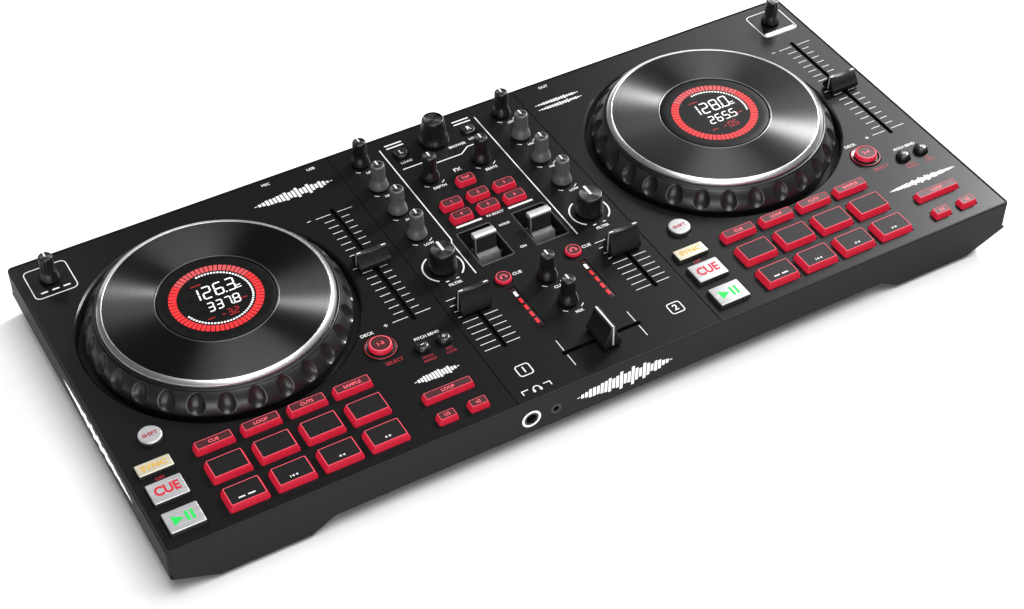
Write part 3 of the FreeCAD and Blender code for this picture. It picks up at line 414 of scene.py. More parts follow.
def turned_metal(name, colour, rough, anisotropy, rings=2600.0):
    """Metal with fine concentric tool marks about its own origin; rings is their number per metre."""
    material = surface(name, colour, rough, 1.0, grain=600, rough_spread=0.02, bump=0,
                       Anisotropic=anisotropy, Anisotropic_Rotation=0.25)
    nodes = material.node_tree.nodes
    links = material.node_tree.links
    shader = nodes["Principled BSDF"]
    space = next(n for n in nodes if n.type == "TEX_COORD")
    flat = nodes.new("ShaderNodeVectorMath")
    flat.operation = "MULTIPLY"
    flat.inputs[1].default_value = (1, 1, 0)
    distance = nodes.new("ShaderNodeVectorMath")
    distance.operation = "LENGTH"
    marks = nodes.new("ShaderNodeTexNoise")
    marks.noise_dimensions = "1D"
    marks.inputs["Scale"].default_value = rings
    marks.inputs["Detail"].default_value = 2.0
    links.new(space.outputs["Object"], flat.inputs[0])
    links.new(flat.outputs["Vector"], distance.inputs[0])
    links.new(distance.outputs["Value"], marks.inputs["W"])
    two_colours(nodes, links, marks, colour, 0.3, shader.inputs["Base Color"])
    relief(nodes, links, marks, 0.06, 0.00003, shader)
    tangent = nodes.new("ShaderNodeTangent")
    tangent.direction_type = "RADIAL"
    tangent.axis = "Z"
    links.new(tangent.outputs["Tangent"], shader.inputs["Tangent"])
    return material


INKS = {
    "white": surface("white_ink", (0.55, 0.55, 0.55), 0.5, spread=0.05, bump=0.05),
    # painted glow: the red print is made with lamp() and gives off light of its own, though it is only ink
    "red": lamp("red_ink_painted_glow", (0.5, 0.02, 0.035), 0.35),
    # painted glow: the white marks on the case walls are made with lamp() and shine at full strength, standing in
    # for light on the walls
    "wall": lamp("wall_ink_painted_glow", (0.95, 0.95, 0.95), 1.0),
}
FACEPLATE = surface("dark_brushed_faceplate", (0.0035, 0.0035, 0.0038), 0.31, grain=(90, 4200, 300),
                    spread=0.2, rough_spread=0.03, Specular_IOR_Level=0.22)
CASE = surface("moulded_case", (0.018, 0.018, 0.0185), 0.5, grain=2200, spread=0.12, bump=0.1,
               Specular_IOR_Level=0.06)
RUBBER = surface("foot_rubber", (0.02, 0.02, 0.02), 0.8, grain=900, bump=0.2)
SCREW = surface("screw_zinc", (0.3, 0.3, 0.31), 0.4, 1.0, grain=700, bump=0.06)
BOARD = surface("board_laminate", (0.02, 0.12, 0.05), 0.45, grain=500, bump=0.05)
COMPONENT = surface("component_can", (0.02, 0.02, 0.021), 0.5, 0.0, grain=(80, 900, 900), bump=0.05)
SOCKET = surface("socket_plastic", (0.012, 0.012, 0.013), 0.4, grain=800, bump=0.04)
JOG_GLOSS = surface("jog_gloss_black", (0.009, 0.009, 0.0095), 0.33, grain=250, spread=0.1,
                    rough_spread=0.02, bump=0)
JOG_DISC = turned_metal("jog_spun_black", (0.05, 0.05, 0.051), 0.4, 1.0)
JOG_RIM = surface("jog_satin_rim", (0.035, 0.035, 0.036), 0.34, 1.0, grain=500, spread=0.04,
                  rough_spread=0.01, bump=0)
JOG_BEAD = surface("jog_dark_bead", (0.1, 0.1, 0.102), 0.34, 1.0, grain=500, rough_spread=0.02,
                   bump=0)
JOG_EDGE = surface("jog_polished_edge", (0.62, 0.62, 0.63), 0.3, 1.0, grain=400, spread=0.03,
                   rough_spread=0.01, bump=0)
LENS = surface("display_lens", (0.002, 0.002, 0.002), 0.45, grain=200, bump=0.005,
               Specular_IOR_Level=0.12)
RING_LAMP = lamp("display_red", (1.0, 0.03, 0.035), 0.75)
PALE_LAMP = lamp("display_pale_red", (0.8, 0.1, 0.11), 0.6)
WHITE_LAMP = lamp("display_white", (1.0, 1.0, 1.0), 1.0)
DIM_RED = lamp("display_dim_red", (0.6, 0.01, 0.02), 0.22)
KNOB_BLACK = surface("knob_black_rubber", (0.005, 0.005, 0.0055), 0.33, grain=900, spread=0.08,
                     rough_spread=0.02, bump=0)
KNOB_GREY = surface("knob_grey_rubber", (0.085, 0.086, 0.09), 0.38, grain=900, spread=0.05,
                    rough_spread=0.02, bump=0)
KNOB_CROWN = turned_metal("knob_spun_crown", (0.1, 0.1, 0.103), 0.3, 0.8, rings=4200.0)
CAP_BLACK = surface("fader_cap_black", (0.006, 0.006, 0.0065), 0.38, grain=700, bump=0.05)
BAR_METAL = surface("paddle_bar_metal", (0.72, 0.72, 0.73), 0.3, 0.7, grain=(40, 1500, 1500), spread=0.06,
                    bump=0.04)
DRUM_GREY = surface("paddle_drum", (0.09, 0.09, 0.093), 0.34, grain=500, bump=0.04)
BLADE_GREY = surface("paddle_blade", (0.022, 0.022, 0.023), 0.4, grain=500, bump=0.04)
SILVER = surface("button_silver", (0.42, 0.42, 0.425), 0.36, 0.5, grain=(50, 900, 900), spread=0.1, bump=0.03)
CREAM = surface("button_cream", (0.5, 0.46, 0.36), 0.38, 0.4, grain=(50, 900, 900), spread=0.08, bump=0.03)
BUTTON_SIDE = surface("button_side", (0.05, 0.05, 0.052), 0.3, 0.4, grain=500, bump=0.03)
GLOSS_BLACK = surface("button_gloss_black", (0.006, 0.006, 0.0065), 0.3, grain=400, bump=0.01)
PAD_WALL = lamp("pad_red_wall", (0.8, 0.02, 0.055), 0.5, 0.45)
PAD_RIM = lamp("pad_lit_rim", (1.0, 0.13, 0.18), 0.8, 0.45)
PAD_TOP = surface("pad_dark_top", (0.004, 0.0025, 0.0027), 0.5, grain=900, bump=0.1,
                  Specular_IOR_Level=0.16)
KEY_TOP = surface("key_dark_red_top", (0.04, 0.003, 0.005), 0.45, grain=900, bump=0.1,
                  Specular_IOR_Level=0.3)
METER_LENS = surface("meter_lens", (0.012, 0.002, 0.003), 0.4, grain=400, bump=0.01,
                     Specular_IOR_Level=0.2)
GREEN_LAMP = lamp("play_green", (0.02, 0.8, 0.12), 0.6)
AMBER_LAMP = lamp("sync_amber", (0.85, 0.5, 0.04), 0.5)
CUE_LAMP = lamp("cue_red", (0.8, 0.02, 0.05), 0.45)


def paint(node, finish):
    """Gives a CAD node its finish, without touching its mesh."""
    materials = NODES[node].data.materials
    materials.clear()
    materials.append(finish)


def paint_cad_nodes():
    finishes = {
        "faceplate": FACEPLATE, "upper_case": CASE, "lower_case": CASE, "rubber_feet": RUBBER,
        "case_screws": SCREW, "circuit_boards": BOARD, "rotary_potentiometers": COMPONENT,
        "fader_tracks": COMPONENT, "headphone_jacks": SOCKET, "rear_sockets": SOCKET, "jog_posts": CASE,
    }
    for node in NODES:
        paint(node, finishes.get(node, CAP_BLACK))


# --- jogs ---
DIMPLES = 28
DIMPLE_PHASE = {"left": 6.0, "right": -0.9}       # degrees
DIMPLE_STEPS = 30          # points across one dimple
DIMPLE_RADIUS = 5.4
DIMPLE_OFFSET = 4.0        # distance of the round cutter's axis from the flank
FLANK_TOP = (66.4, 11.4)   # radius and height above the faceplate
FLANK_FOOT = (73.2, 0.4)
FLANK_BULGE = 1.15
FLANK_ROWS = 40
RIM_BANDS = (4, 9)         # the bands of the wheel that have the satin finish of its shoulder


def dimple_radius(s):
    """Radius of the egg-shaped hollow at s, measured up the flank from its middle."""
    widest, point, bottom = -1.5, 9.2, -8.3
    end = point if s > widest else bottom
    t = min(1.0, (s - widest) / (end - widest))
    return DIMPLE_RADIUS * math.sqrt(max(0.0, 1 - t * t))


def flank_rings(side):
    """Rings down the dimpled flank, from the shoulder to the lip."""
    centre = JOG[side]
    chord = math.hypot(FLANK_FOOT[0] - FLANK_TOP[0], FLANK_TOP[1] - FLANK_FOOT[1])
    slope = Vector((FLANK_FOOT[0] - FLANK_TOP[0], FLANK_FOOT[1] - FLANK_TOP[1])) / chord
    outward = Vector((-slope.y, slope.x))
    steps = DIMPLES * DIMPLE_STEPS
    rings = []
    for row in range(FLANK_ROWS + 1):
        t = row / FLANK_ROWS
        bulge = 4 * FLANK_BULGE * t * (1 - t)
        base = Vector(FLANK_TOP) + slope * chord * t
        cutter = dimple_radius(chord * (0.5 - t))
        ring = []
        for i in range(steps):
            across = ((i % DIMPLE_STEPS) / DIMPLE_STEPS - 0.5) * 2 * math.pi * base.x / DIMPLES
            depth = 0.0
            if abs(across) < cutter:
                depth = max(0.0, math.sqrt(cutter ** 2 - across ** 2) - DIMPLE_OFFSET + bulge)
            point = base + outward * (bulge - depth)
            angle = 2 * math.pi * (i - DIMPLE_STEPS / 2) / steps + math.radians(DIMPLE_PHASE[side])
            ring.append((centre.x + point.x * math.cos(angle), centre.y + point.x * math.sin(angle),
                         PANEL + point.y))
        rings.append(ring)
    return rings


def make_jog_wheel(side):
    centre = JOG[side]
    steps = DIMPLES * DIMPLE_STEPS
    phase = math.radians(DIMPLE_PHASE[side]) - math.pi / DIMPLES
    node = "jog_wheel_" + side
    foot = box(node)[0].z - PANEL
    top = FLANK_TOP[1]
    shoulder = [(12.1, foot + 7.4), (16.9, foot + 7.4), (17.0, foot + 3), (63.0, foot + 3),
                (63.4, top + 0.3), (63.8, top + 0.6), (65.7, top + 0.6), (66.1, top + 0.45)]
    lip = [(73.2, 0.0), (73.1, -1.0), (72.8, -1.3), (71.0, foot), (12.1, foot)]
    rings = turned(centre, shoulder, steps, phase) + flank_rings(side) + turned(centre, lip, steps, phase)
    numbers = [0] * RIM_BANDS[0] + [1] * (RIM_BANDS[1] - RIM_BANDS[0]) + [0]
    wheel = Shape()
    wheel.rings(rings + rings[:1], numbers, low=False, high=False)
    wheel.make("jog_grip_" + side, [JOG_GLOSS, JOG_RIM], "jog_" + side, "jog_plastic", [node], centre, 50)


def make_jog_plate(side):
    """The spun disc, the polished edge round it and the bead inside it."""
    node = "jog_plate_" + side
    top = JOG_TOP - PANEL
    under = box(node)[0].z - PANEL
    disc = [(32.75, under), (61.2, under), (61.2, top - 0.25), (61.0, top - 0.08), (60.8, top - 0.04),
            (34.4, top - 0.04), (33.9, top - 0.1), (32.9, top - 0.1), (32.75, top - 0.3)]
    edge = [(61.25, under), (64.4, under), (64.4, top - 1.6), (64.3, top - 1.4), (62.1, top - 0.22),
            (61.9, top - 0.06), (61.7, top), (61.45, top), (61.25, top - 0.15)]
    bead = [(32.95, top - 0.12), (33.85, top - 0.12), (33.7, top - 0.02), (33.4, top), (33.1, top - 0.02)]
    for name, profile, finish, replaces, sharp in (("jog_disc_", disc, JOG_DISC, [node], 32),
                                                   ("jog_bright_edge_", edge, JOG_EDGE, (), 60),
                                                   ("jog_inner_bead_", bead, JOG_BEAD, (), 60)):
        shape = Shape()
        lathe(shape, JOG[side], profile, steps=256, closed=True)
        shape.make(name + side, [finish], "jog_" + side, "jog_metal", replaces, JOG[side], sharp)


# --- displays ---
RING_RADIUS = 23.6
RING_SEGMENTS = 60
SEGMENT_ARC = 4.7          # degrees
SEGMENT_DEPTH = 4.4
PALE_SPAN = (20, 130)      # degrees; this part of the ring glows paler
DOT_RADIUS = 19.8          # of the arc the white dots lie on
DOT_PITCH = 5              # degrees from dot to dot
LENS_SUNK = 0.1            # the glass lies this far below the display's highest point
SEGMENT_SLANT = 0.12
DIGIT_STEP = 1.55          # from digit to digit, in widths of a digit
DIGIT_SEGMENTS = {
    "0": "abcdef", "1": "bc", "2": "abged", "3": "abgcd", "4": "fgbc", "5": "afgcd",
    "6": "afgedc", "7": "abc", "8": "abcdefg", "9": "abcdfg", "-": "g",
}
SEGMENT_ENDS = {
    "a": ((0, 1), (1, 1)), "b": ((1, 1), (1, 0.5)), "c": ((1, 0.5), (1, 0)), "d": ((0, 0), (1, 0)),
    "e": ((0, 0), (0, 0.5)), "f": ((0, 0.5), (0, 1)), "g": ((0, 0.5), (1, 0.5)),
}
READOUTS = {"left": ("126.3", "337.8"), "right": ("128.0", "265.5")}
RED_READOUTS = {"left": "-3.2", "right": "-0.5"}
ARC_SPANS = {"left": (100, -160), "right": (100, -20)}


def digits(ink, text, start, width, height, thickness):
    """Seven-segment numbers; start is the lower left corner of the first one."""
    x, y = start
    for letter in text:
        if letter == ".":
            ink.disc((x - 0.25 * width, y), thickness * 0.6, 10)
            continue
        for name in DIGIT_SEGMENTS[letter]:
            ends = []
            for u, v in SEGMENT_ENDS[name]:
                ends.append(Vector((x + u * width + SEGMENT_SLANT * v * height, y + v * height)))
            along = (ends[1] - ends[0]).normalized() * thickness * 0.35
            ink.line(ends[0] + along, ends[1] - along, thickness)
        x += width * DIGIT_STEP


def make_display(side):
    centre = JOG[side]
    x, y = centre.x, centre.y
    highest = box("jog_displays")[1].z
    top = highest - PANEL
    lens = Shape()
    profile = [(32.3, top - 5.9), (32.3, top - 0.5), (32.1, top - 0.2), (31.8, top - LENS_SUNK),
               (28.4, top - LENS_SUNK)]
    lathe(lens, centre, profile, steps=192)
    lens.make("display_lens_" + side, [LENS], CHASSIS, "display_glass", ["jog_displays"], centre)

    full, pale, white, dim = [Print(highest - LENS_SUNK) for _ in range(4)]
    for i in range(RING_SEGMENTS):
        start = 360.0 * i / RING_SEGMENTS
        ink = pale if PALE_SPAN[0] < start < PALE_SPAN[1] else full
        ink.arc(centre, RING_RADIUS, start, start + SEGMENT_ARC, SEGMENT_DEPTH, steps=4)
    start, end = ARC_SPANS[side]
    count = int(abs(end - start) / DOT_PITCH)
    for i in range(count + 1):
        angle = math.radians(start + (end - start) * i / count)
        white.disc((x + DOT_RADIUS * math.cos(angle), y + DOT_RADIUS * math.sin(angle)), 0.66, 10)
    large, small = READOUTS[side]
    digits(white, large, (x - 12.6, y + 1.6), 4.4, 9.0, 0.92)
    digits(white, small, (x - 7.4, y - 8.6), 3.2, 6.4, 0.74)
    for offset in (3.6, 1.8):
        white.dash(x + 12.5, x + 15.6, y + offset, 0.6)
    digits(dim, RED_READOUTS[side], (x - 3.0, y - 16.0), 2.4, 4.4, 0.8)
    for start, end, offset in ((-10.5, -6.5, -13.6), (-9.5, -3.5, 13.6), (10.0, 15.0, -7.0)):
        dim.dash(x + start, x + end, y + offset, 0.8)
    for name, ink, glow in (("display_ring_", full, RING_LAMP), ("display_pale_ring_", pale, PALE_LAMP),
                            ("display_figures_", white, WHITE_LAMP), ("display_red_figures_", dim, DIM_RED)):
        ink.make(name + side, [glow], CHASSIS, "display_glass", centre=centre)


# --- keys ---
KEY_SUNK = 2.2             # how far below the faceplate a key's drawn wall starts
TOP_SUNK = 0.18            # how far a lit key's dark top lies below its rim
WALL, RIM, TOP = 0, 1, 2


def centre_of(solid):
    low, high = solid
    return (low + high) / 2


def left_end(solid):
    low, _ = solid
    return low.x


def key(shape, solid, levels, corner=None):
    """A key as wide as a CAD solid, rectangular, or round when it has no corner radius.

    Each level has an inset, a height and the number of the material above it. The first two heights
    are measured from the faceplate, the others from the top of the key.
    """
    low, high = solid
    centre = centre_of(solid)
    width, depth = high.x - low.x, high.y - low.y
    rings, numbers = [], []
    for inset, height, number in levels:
        z = (PANEL if len(rings) < 2 else high.z) + height
        if corner is None:
            rings.append(circle(centre, width / 2 - inset, z, 48))
        else:
            rings.append(rounded(centre, width - 2 * inset, depth - 2 * inset, corner - inset * 0.6, z))
        numbers.append(number)
    shape.rings(rings, numbers)


def key_levels(slope, rim, sink):
    """A lit key: sloped wall, rounded shoulder, thin bright rim and a sunk dark top."""
    return [
        (0.0, -KEY_SUNK, WALL),
        (0.0, 0.25, WALL),
        (slope * 0.75, -0.85, WALL),
        (slope * 0.92, -0.25, WALL),
        (slope + 0.15, 0.0, RIM),
        (slope + 0.15 + rim, 0.0, TOP),
        (slope + 0.25 + rim, -sink, TOP),
    ]


def make_red_keys(node, name, slope, rim, corner, top_finish):
    """All lit keys of a node as one piece; returns their solids and the height of their sunk tops."""
    keys = Shape()
    found = solids(node, PANEL)
    for solid in found:
        key(keys, solid, key_levels(slope, rim, TOP_SUNK), corner)
    keys.make(name, [PAD_WALL, PAD_RIM, top_finish], node, "pad_red", [node], sharp=40)
    return found, found[0][1].z - TOP_SUNK


SILVER_LEVELS = [(0.0, -KEY_SUNK, WALL), (0.0, 0.2, WALL), (0.15, -0.55, WALL), (0.25, -0.25, RIM),
                 (0.45, -0.07, RIM), (0.8, 0.0, RIM)]
PLAY_HALF = 3.3            # half the height of the play and pause mark


def make_silver_key(node, finish):
    """Makes the cap and returns the centre and height of its top."""
    cap = Shape()
    solid = solids(node, PANEL)[0]
    key(cap, solid, SILVER_LEVELS, 0.9)
    name = node.replace("_button", "_cap")
    cap.make(name, [BUTTON_SIDE, finish], node, "button_silver", [node], sharp=40)
    return centre_of(solid), solid[1].z


def make_transport(side):
    for role, finish, glow in (("sync", CREAM, AMBER_LAMP), ("cue", SILVER, CUE_LAMP),
                               ("play", SILVER, GREEN_LAMP)):
        node = role + "_button_" + side
        centre, top = make_silver_key(node, finish)
        mark = Print(top)
        if role == "sync":
            mark.words("SYNC", centre, 4.8, 1.15, 0.03)
        elif role == "cue":
            mark.words("CUE", centre, 8.4, 0.85, 0.035)
        else:
            mark.arrow(centre.x + 0.2, centre.y, 6.0, PLAY_HALF)
            for offset in (1.9, 4.7):
                mark.upright(centre.x + offset, centre.y - PLAY_HALF, centre.y + PLAY_HALF, 1.6)
        mark.make(role + "_mark_" + side, [glow], node, "button_silver")


def make_shift(side):
    node = "shift_button_" + side
    solid = solids(node, PANEL)[0]
    cap = Shape()
    key(cap, solid, [(0.0, -KEY_SUNK, WALL), (0.0, 0.2, WALL), (0.1, -0.6, RIM), (0.35, -0.2, RIM),
                     (0.8, -0.03, RIM), (1.4, 0.0, RIM)])
    cap.make("shift_cap_" + side, [BUTTON_SIDE, SILVER], node, "button_silver", [node], sharp=40)
    mark = Print(solid[1].z)
    mark.words("SHIFT", centre_of(solid), 3.5, 0.95, 0.03)
    mark.make("shift_mark_" + side, [INKS["red"]], node, "button_silver")


SELECT_SUNK = 0.3          # how far the deck select button's dark top lies below its rim


def make_deck_select(side):
    node = "deck_select_button_" + side
    low, high = solids(node, PANEL)[0]
    centre = (low + high) / 2
    radius = (high.x - low.x) / 2
    top = high.z - PANEL
    profile = [(radius, -KEY_SUNK), (radius, 0.4), (radius - 0.2, 0.7), (radius - 0.7, 0.8),
               (radius - 1.1, 0.8), (radius - 1.6, 0.45), (radius - 2.3, 0.45), (radius - 2.5, 1.2),
               (radius - 2.8, top - 0.6),
               (radius - 3.2, top - 0.15), (radius - 3.5, top), (radius - 3.8, top),
               (radius - 4.1, top - SELECT_SUNK)]
    finishes = [PAD_WALL, GLOSS_BLACK, PAD_RIM, KEY_TOP, INKS["red"]]
    cap = Shape()
    lathe(cap, centre, profile, [1, 1, 4, 1, 1, 1, 1, 0, 0, 2, 2, 3, 3], steps=72)
    cap.make("deck_select_cap_" + side, finishes, node, "pad_red", [node], centre, sharp=40)
    mark = Print(high.z - SELECT_SUNK)
    mark.words("1-3" if side == "left" else "2-4", centre, 3.4)
    mark.make("deck_select_mark_" + side, [PAD_RIM], node, "pad_red")


LOOP_SUNK = 0.15           # how far a loop key's dark top lies below its rim
BEND_HALF = 1.1            # half the length of the plus and minus strokes


def is_dome(solid):
    """A dome is as wide as it is deep; the loop keys are wider."""
    low, high = solid
    return abs((high.x - low.x) - (high.y - low.y)) < 0.2


def make_loop_and_bend(side):
    """Three lit loop keys and two glossy domes share one node and one body."""
    node = "loop_and_bend_keys_" + side
    found = solids(node, PANEL)
    bends = sorted((b for b in found if is_dome(b)), key=left_end)
    loop_keys = sorted((b for b in found if not is_dome(b)),
                       key=lambda b: (-round(centre_of(b).y), left_end(b)))
    keys = Shape()
    for solid in loop_keys:
        key(keys, solid, key_levels(0.9, 0.25, LOOP_SUNK), 1.2)
    domes = Shape()
    for low, high in bends:
        radius = (high.x - low.x) / 2
        top = high.z - PANEL
        profile = [(radius, -KEY_SUNK), (radius, 1.0), (radius - 0.25, top - 1.2), (radius - 0.8, top - 0.5),
                   (radius - 1.8, top - 0.1), (radius - 2.8, top)]
        lathe(domes, (low + high) / 2, profile, steps=48)
    keys.make("loop_caps_" + side, [PAD_WALL, PAD_RIM, KEY_TOP], node, "button_dark", [node], sharp=40)
    domes.make("bend_caps_" + side, [GLOSS_BLACK], node, "button_dark", sharp=60)
    marks = Print()
    for solid, plus in zip(bends, (False, True)):
        centre = centre_of(solid)
        marks.z = solid[1].z
        marks.dash(centre.x - BEND_HALF, centre.x + BEND_HALF, centre.y, 0.45)
        if plus:
            marks.upright(centre.x, centre.y - BEND_HALF, centre.y + BEND_HALF, 0.45)
    marks.make("bend_marks_" + side, [INKS["white"]], node, "button_dark")
    words = Print()
    for solid, text in zip(loop_keys, ("LOOP", "1/2", "x2")):
        words.z = solid[1].z - LOOP_SUNK
        words.words(text, centre_of(solid), 2.9)
    words.make("loop_marks_" + side, [PAD_RIM], node, "button_dark")


MODE_WORDS = ("CUE", "LOOP", "CUTS", "SAMPLE")
MARK_HALF = 0.8            # half the height of the marks on the pads
ARROW = 1.4                # length of an arrow head


def make_pads(side):
    node = "pads_" + side
    pads, top = make_red_keys(node, "pad_caps_" + side, 1.25, 0.32, 1.5, PAD_TOP)
    marks = Print(top)
    front_row = sorted(pads, key=lambda b: b[0].y)[:4]
    for i, solid in enumerate(sorted(front_row, key=left_end)):
        x, y = centre_of(solid).x, solid[0].y + 4.6
        if i == 0:
            marks.dash(x - 4.5, x - 1.0, y, 0.9)
            marks.dash(x + 0.6, x + 4.5, y, 0.9)
            continue
        if i == 1:
            marks.upright(x - 2.4, y - MARK_HALF, y + MARK_HALF, 0.4)
        for tip in ((-0.2, 1.8) if i == 3 else (-1.8, 0.2)):
            marks.arrow(x + tip, y, ARROW if i == 3 else -ARROW, MARK_HALF)
    marks.make("pad_marks_" + side, [INKS["white"]], node, "pad_red")
    node = "mode_keys_" + side
    modes, top = make_red_keys(node, "mode_caps_" + side, 1.0, 0.28, 1.2, KEY_TOP)
    marks = Print(top)
    for solid, text in zip(sorted(modes, key=left_end), MODE_WORDS):
        marks.words(text, centre_of(solid), 3.0)
    marks.make("mode_marks_" + side, [PAD_RIM], node, "pad_red")


def make_effect_keys():
    keys, top = make_red_keys("effect_keys", "effect_caps", 0.9, 0.25, 1.8, KEY_TOP)
    marks = Print(top)
    for number, solid in enumerate(keys):
        marks.words("TAP" if number == 0 else str(number), centre_of(solid), 2.9)
    marks.make("effect_marks", [PAD_RIM], "effect_keys", "pad_red")


def make_load_buttons():
    node = "load_buttons"
    caps = Shape()
    marks = Print()
    for solid, letter in zip(sorted(solids(node, PANEL), key=left_end), "LR"):
        key(caps, solid, [(0.0, -KEY_SUNK, WALL), (0.0, 0.2, WALL), (0.15, -0.6, WALL), (0.6, -0.15, WALL),
                          (1.3, 0.0, WALL)])
        marks.z = solid[1].z
        marks.words(letter, centre_of(solid), 4.6)
    caps.make("load_caps", [GLOSS_BLACK], node, "button_silver", [node], sharp=60)
    marks.make("load_marks", [INKS["white"]], node, "button_silver")


EARPHONE = 1.6             # radius of the headphone mark on the cue buttons
CUE_SUNK = 0.25            # how far a headphone cue button's dark top lies below its rim


def make_cue_buttons():
    node = "headphone_cue_buttons"
    caps = Shape()
    marks = Print()
    for low, high in solids(node, PANEL):
        centre = (low + high) / 2
        radius = (high.x - low.x) / 2
        top = high.z - PANEL
        profile = [(radius, -KEY_SUNK), (radius, 0.5), (radius - 0.3, top - 0.3), (radius - 0.6, top),
                   (radius - 0.9, top), (radius - 1.1, top - CUE_SUNK)]
        lathe(caps, centre, profile, [2, 0, 0, 1, 2, 2], steps=56)
        marks.z = high.z - CUE_SUNK
        marks.arc(centre, EARPHONE, 10, 170, 0.5, 14)
        for x in (centre.x - EARPHONE, centre.x + EARPHONE):
            marks.area([(x - 0.55, centre.y - 1.1), (x + 0.55, centre.y - 1.1),
                        (x + 0.55, centre.y + 0.4), (x - 0.55, centre.y + 0.4)])
    caps.make("headphone_cue_caps", [PAD_WALL, PAD_RIM, KEY_TOP], node, "button_dark", [node], sharp=40)
    marks.make("headphone_cue_marks", [PAD_RIM], node, "button_dark")


# --- knobs ---
KNOBS = {
    "slim": dict(
        profile=[(3.0, -1.0), (5.7, 0.72), (5.9, 0.95), (5.88, 1.5), (5.72, 2.3), (5.45, 3.3), (5.1, 4.3),
                 (4.75, 5.2), (4.45, 6.0), (4.32, 6.6), (4.28, 9.0), (4.22, 12.0), (4.15, 15.4),
                 (4.05, 16.1), (3.8, 16.6), (3.45, 16.85), (3.2, 16.9)],
        ribs=14, groove=0.34, ribbed=(6.2, 15.9), crown=3.2, sink=0.3, pointer=1.0, start=0.0),
    "browse": dict(
        profile=[(3.0, -1.0), (9.1, 0.72), (9.4, 1.0), (9.38, 1.5), (9.2, 2.4), (8.8, 3.4), (8.3, 4.3),
                 (8.05, 4.9), (7.7, 8.0), (7.25, 12.0), (6.85, 15.2), (6.65, 16.0), (6.35, 16.5),
                 (6.0, 16.7)],
        ribs=30, groove=0.22, ribbed=(5.0, 15.6), crown=5.7, sink=0.9),
    "filter": dict(
        profile=[(3.0, -1.0), (7.9, 0.72), (8.1, 0.95), (8.1, 1.9), (7.95, 3.0), (7.7, 6.0), (7.5, 9.0),
                 (7.35, 12.2), (7.2, 13.2), (6.9, 13.75), (6.5, 14.0)],
        ribs=26, groove=0.2, ribbed=(2.6, 12.8), crown=6.3, sink=0.15, pointer=1.5, start=-0.15),
}
RIB_POINTS = 8             # round the knob, for each rib
RIB_ROW = 1.2              # height between rings in the ribbed part, and of the fade at a rib's foot
RIB_END = 0.5              # height of the fade at a rib's top
RIB_SHARPNESS = 0.7        # under 1 makes the grooves narrower than the ribs
POINTER_RISE = 0.06        # how far a pointer stands out of its knob


def knob_profile(style):
    """The knob's profile, with more rings where it is ribbed."""
    low, high = style["ribbed"]
    profile = []
    for (r0, h0), (r1, h1) in zip(style["profile"], style["profile"][1:]):
        parts = max(1, int((h1 - h0) / RIB_ROW)) if low <= h0 <= high else 1
        profile += [(r0 + (r1 - r0) * k / parts, h0 + (h1 - h0) * k / parts) for k in range(parts)]
    return profile + style["profile"][-1:]


def make_knob(node, style, rubber):
    centre = middle(node)
    steps = style["ribs"] * RIB_POINTS
    low, high = style["ribbed"]
    rings = []
    for radius, height in knob_profile(style):
        fade = max(0.0, min(1.0, (height - low) / RIB_ROW, (high - height) / RIB_END))
        ring = []
        for i in range(steps):
            angle = 2 * math.pi * i / steps
            wave = 0.5 + 0.5 * math.cos(style["ribs"] * angle)
            r = radius - style["groove"] * fade * (1 - wave ** RIB_SHARPNESS)
            ring.append((centre.x + r * math.cos(angle), centre.y + r * math.sin(angle), PANEL + height))
        rings.append(ring)
    top = style["profile"][-1][1]
    crown, sink = style["crown"], style["sink"]
    crown_profile = [(crown, top), (crown - 0.12, top - sink), (crown * 0.5, top - sink * 1.15)]
    rings += turned(centre, crown_profile, steps)
    cap = Shape()
    cap.rings(rings, [0] * (len(rings) - 2) + [1])
    slot = "knob_black" if rubber is KNOB_BLACK else "knob_grey"
    cap.make(node.replace("knob", "cap"), [rubber, KNOB_CROWN], node, slot, [node], centre, 45)


def make_pointer(node, style):
    """The white line over a knob's crown and down its side."""
    centre = middle(node)
    top = style["profile"][-1][1]
    half = style["pointer"] / 2
    crown = style["crown"]
    side, shoulder = [radius for radius, _ in style["profile"][-4:-2]]
    stations = [(style["start"] * crown, top + POINTER_RISE), (crown, top + POINTER_RISE),
                (shoulder - 0.25, top - 0.12 + POINTER_RISE), (shoulder + POINTER_RISE, top - 0.7),
                (side + POINTER_RISE, top - 1.6)]
    sections = []
    for reach, height in stations:
        x, y, z = centre.x, centre.y + reach, PANEL + height
        sections.append([(x - half, y, z), (x + half, y, z),
                         (x + half, y - 0.15, z - 0.4), (x - half, y - 0.15, z - 0.4)])
    pointer = Shape()
    pointer.rings(sections)
    name = node.replace("knob", "pointer")
    pointer.make(name, [INKS["white"]], node, "knob_black", centre=centre, sharp=40)


def make_knobs():
    for node in sorted(n for n in NODES if "knob" in n):
        style = KNOBS["browse" if "browse" in node else "filter" if "filter" in node else "slim"]
        grey = node.split("_")[0] in ("high", "mid", "low")
        make_knob(node, style, KNOB_GREY if grey else KNOB_BLACK)
        if "pointer" in style:
            make_pointer(node, style)


# --- faders ---
CAP_BASE = 1.0             # gap under a cap
CAP_FOOT = 2.6             # height of the upright foot of its side
SIDE_ROWS = 8
RIDGE_HALF = 1.4
RIDGE_INSET = 0.35         # a cap is this much narrower at its ridge, at each end
CAP_COLUMNS = 24
CAP_HOLLOW = 0.5
DIP = 0.6                  # depth of the finger dip in the ridge
DIP_REACH = 5.6            # half its length
STEM = (1.8, 3.6)          # across and along the ridge
LINE_HALF = 0.42           # half the width of the white line on a cap
LINE_RISE = 0.05
LINE_SUNK = 0.35           # how deep the line reaches into the cap
LINE_FOOT = CAP_BASE + 1.2
CORNERS = ((-1, -1), (1, -1), (1, 1), (-1, 1))


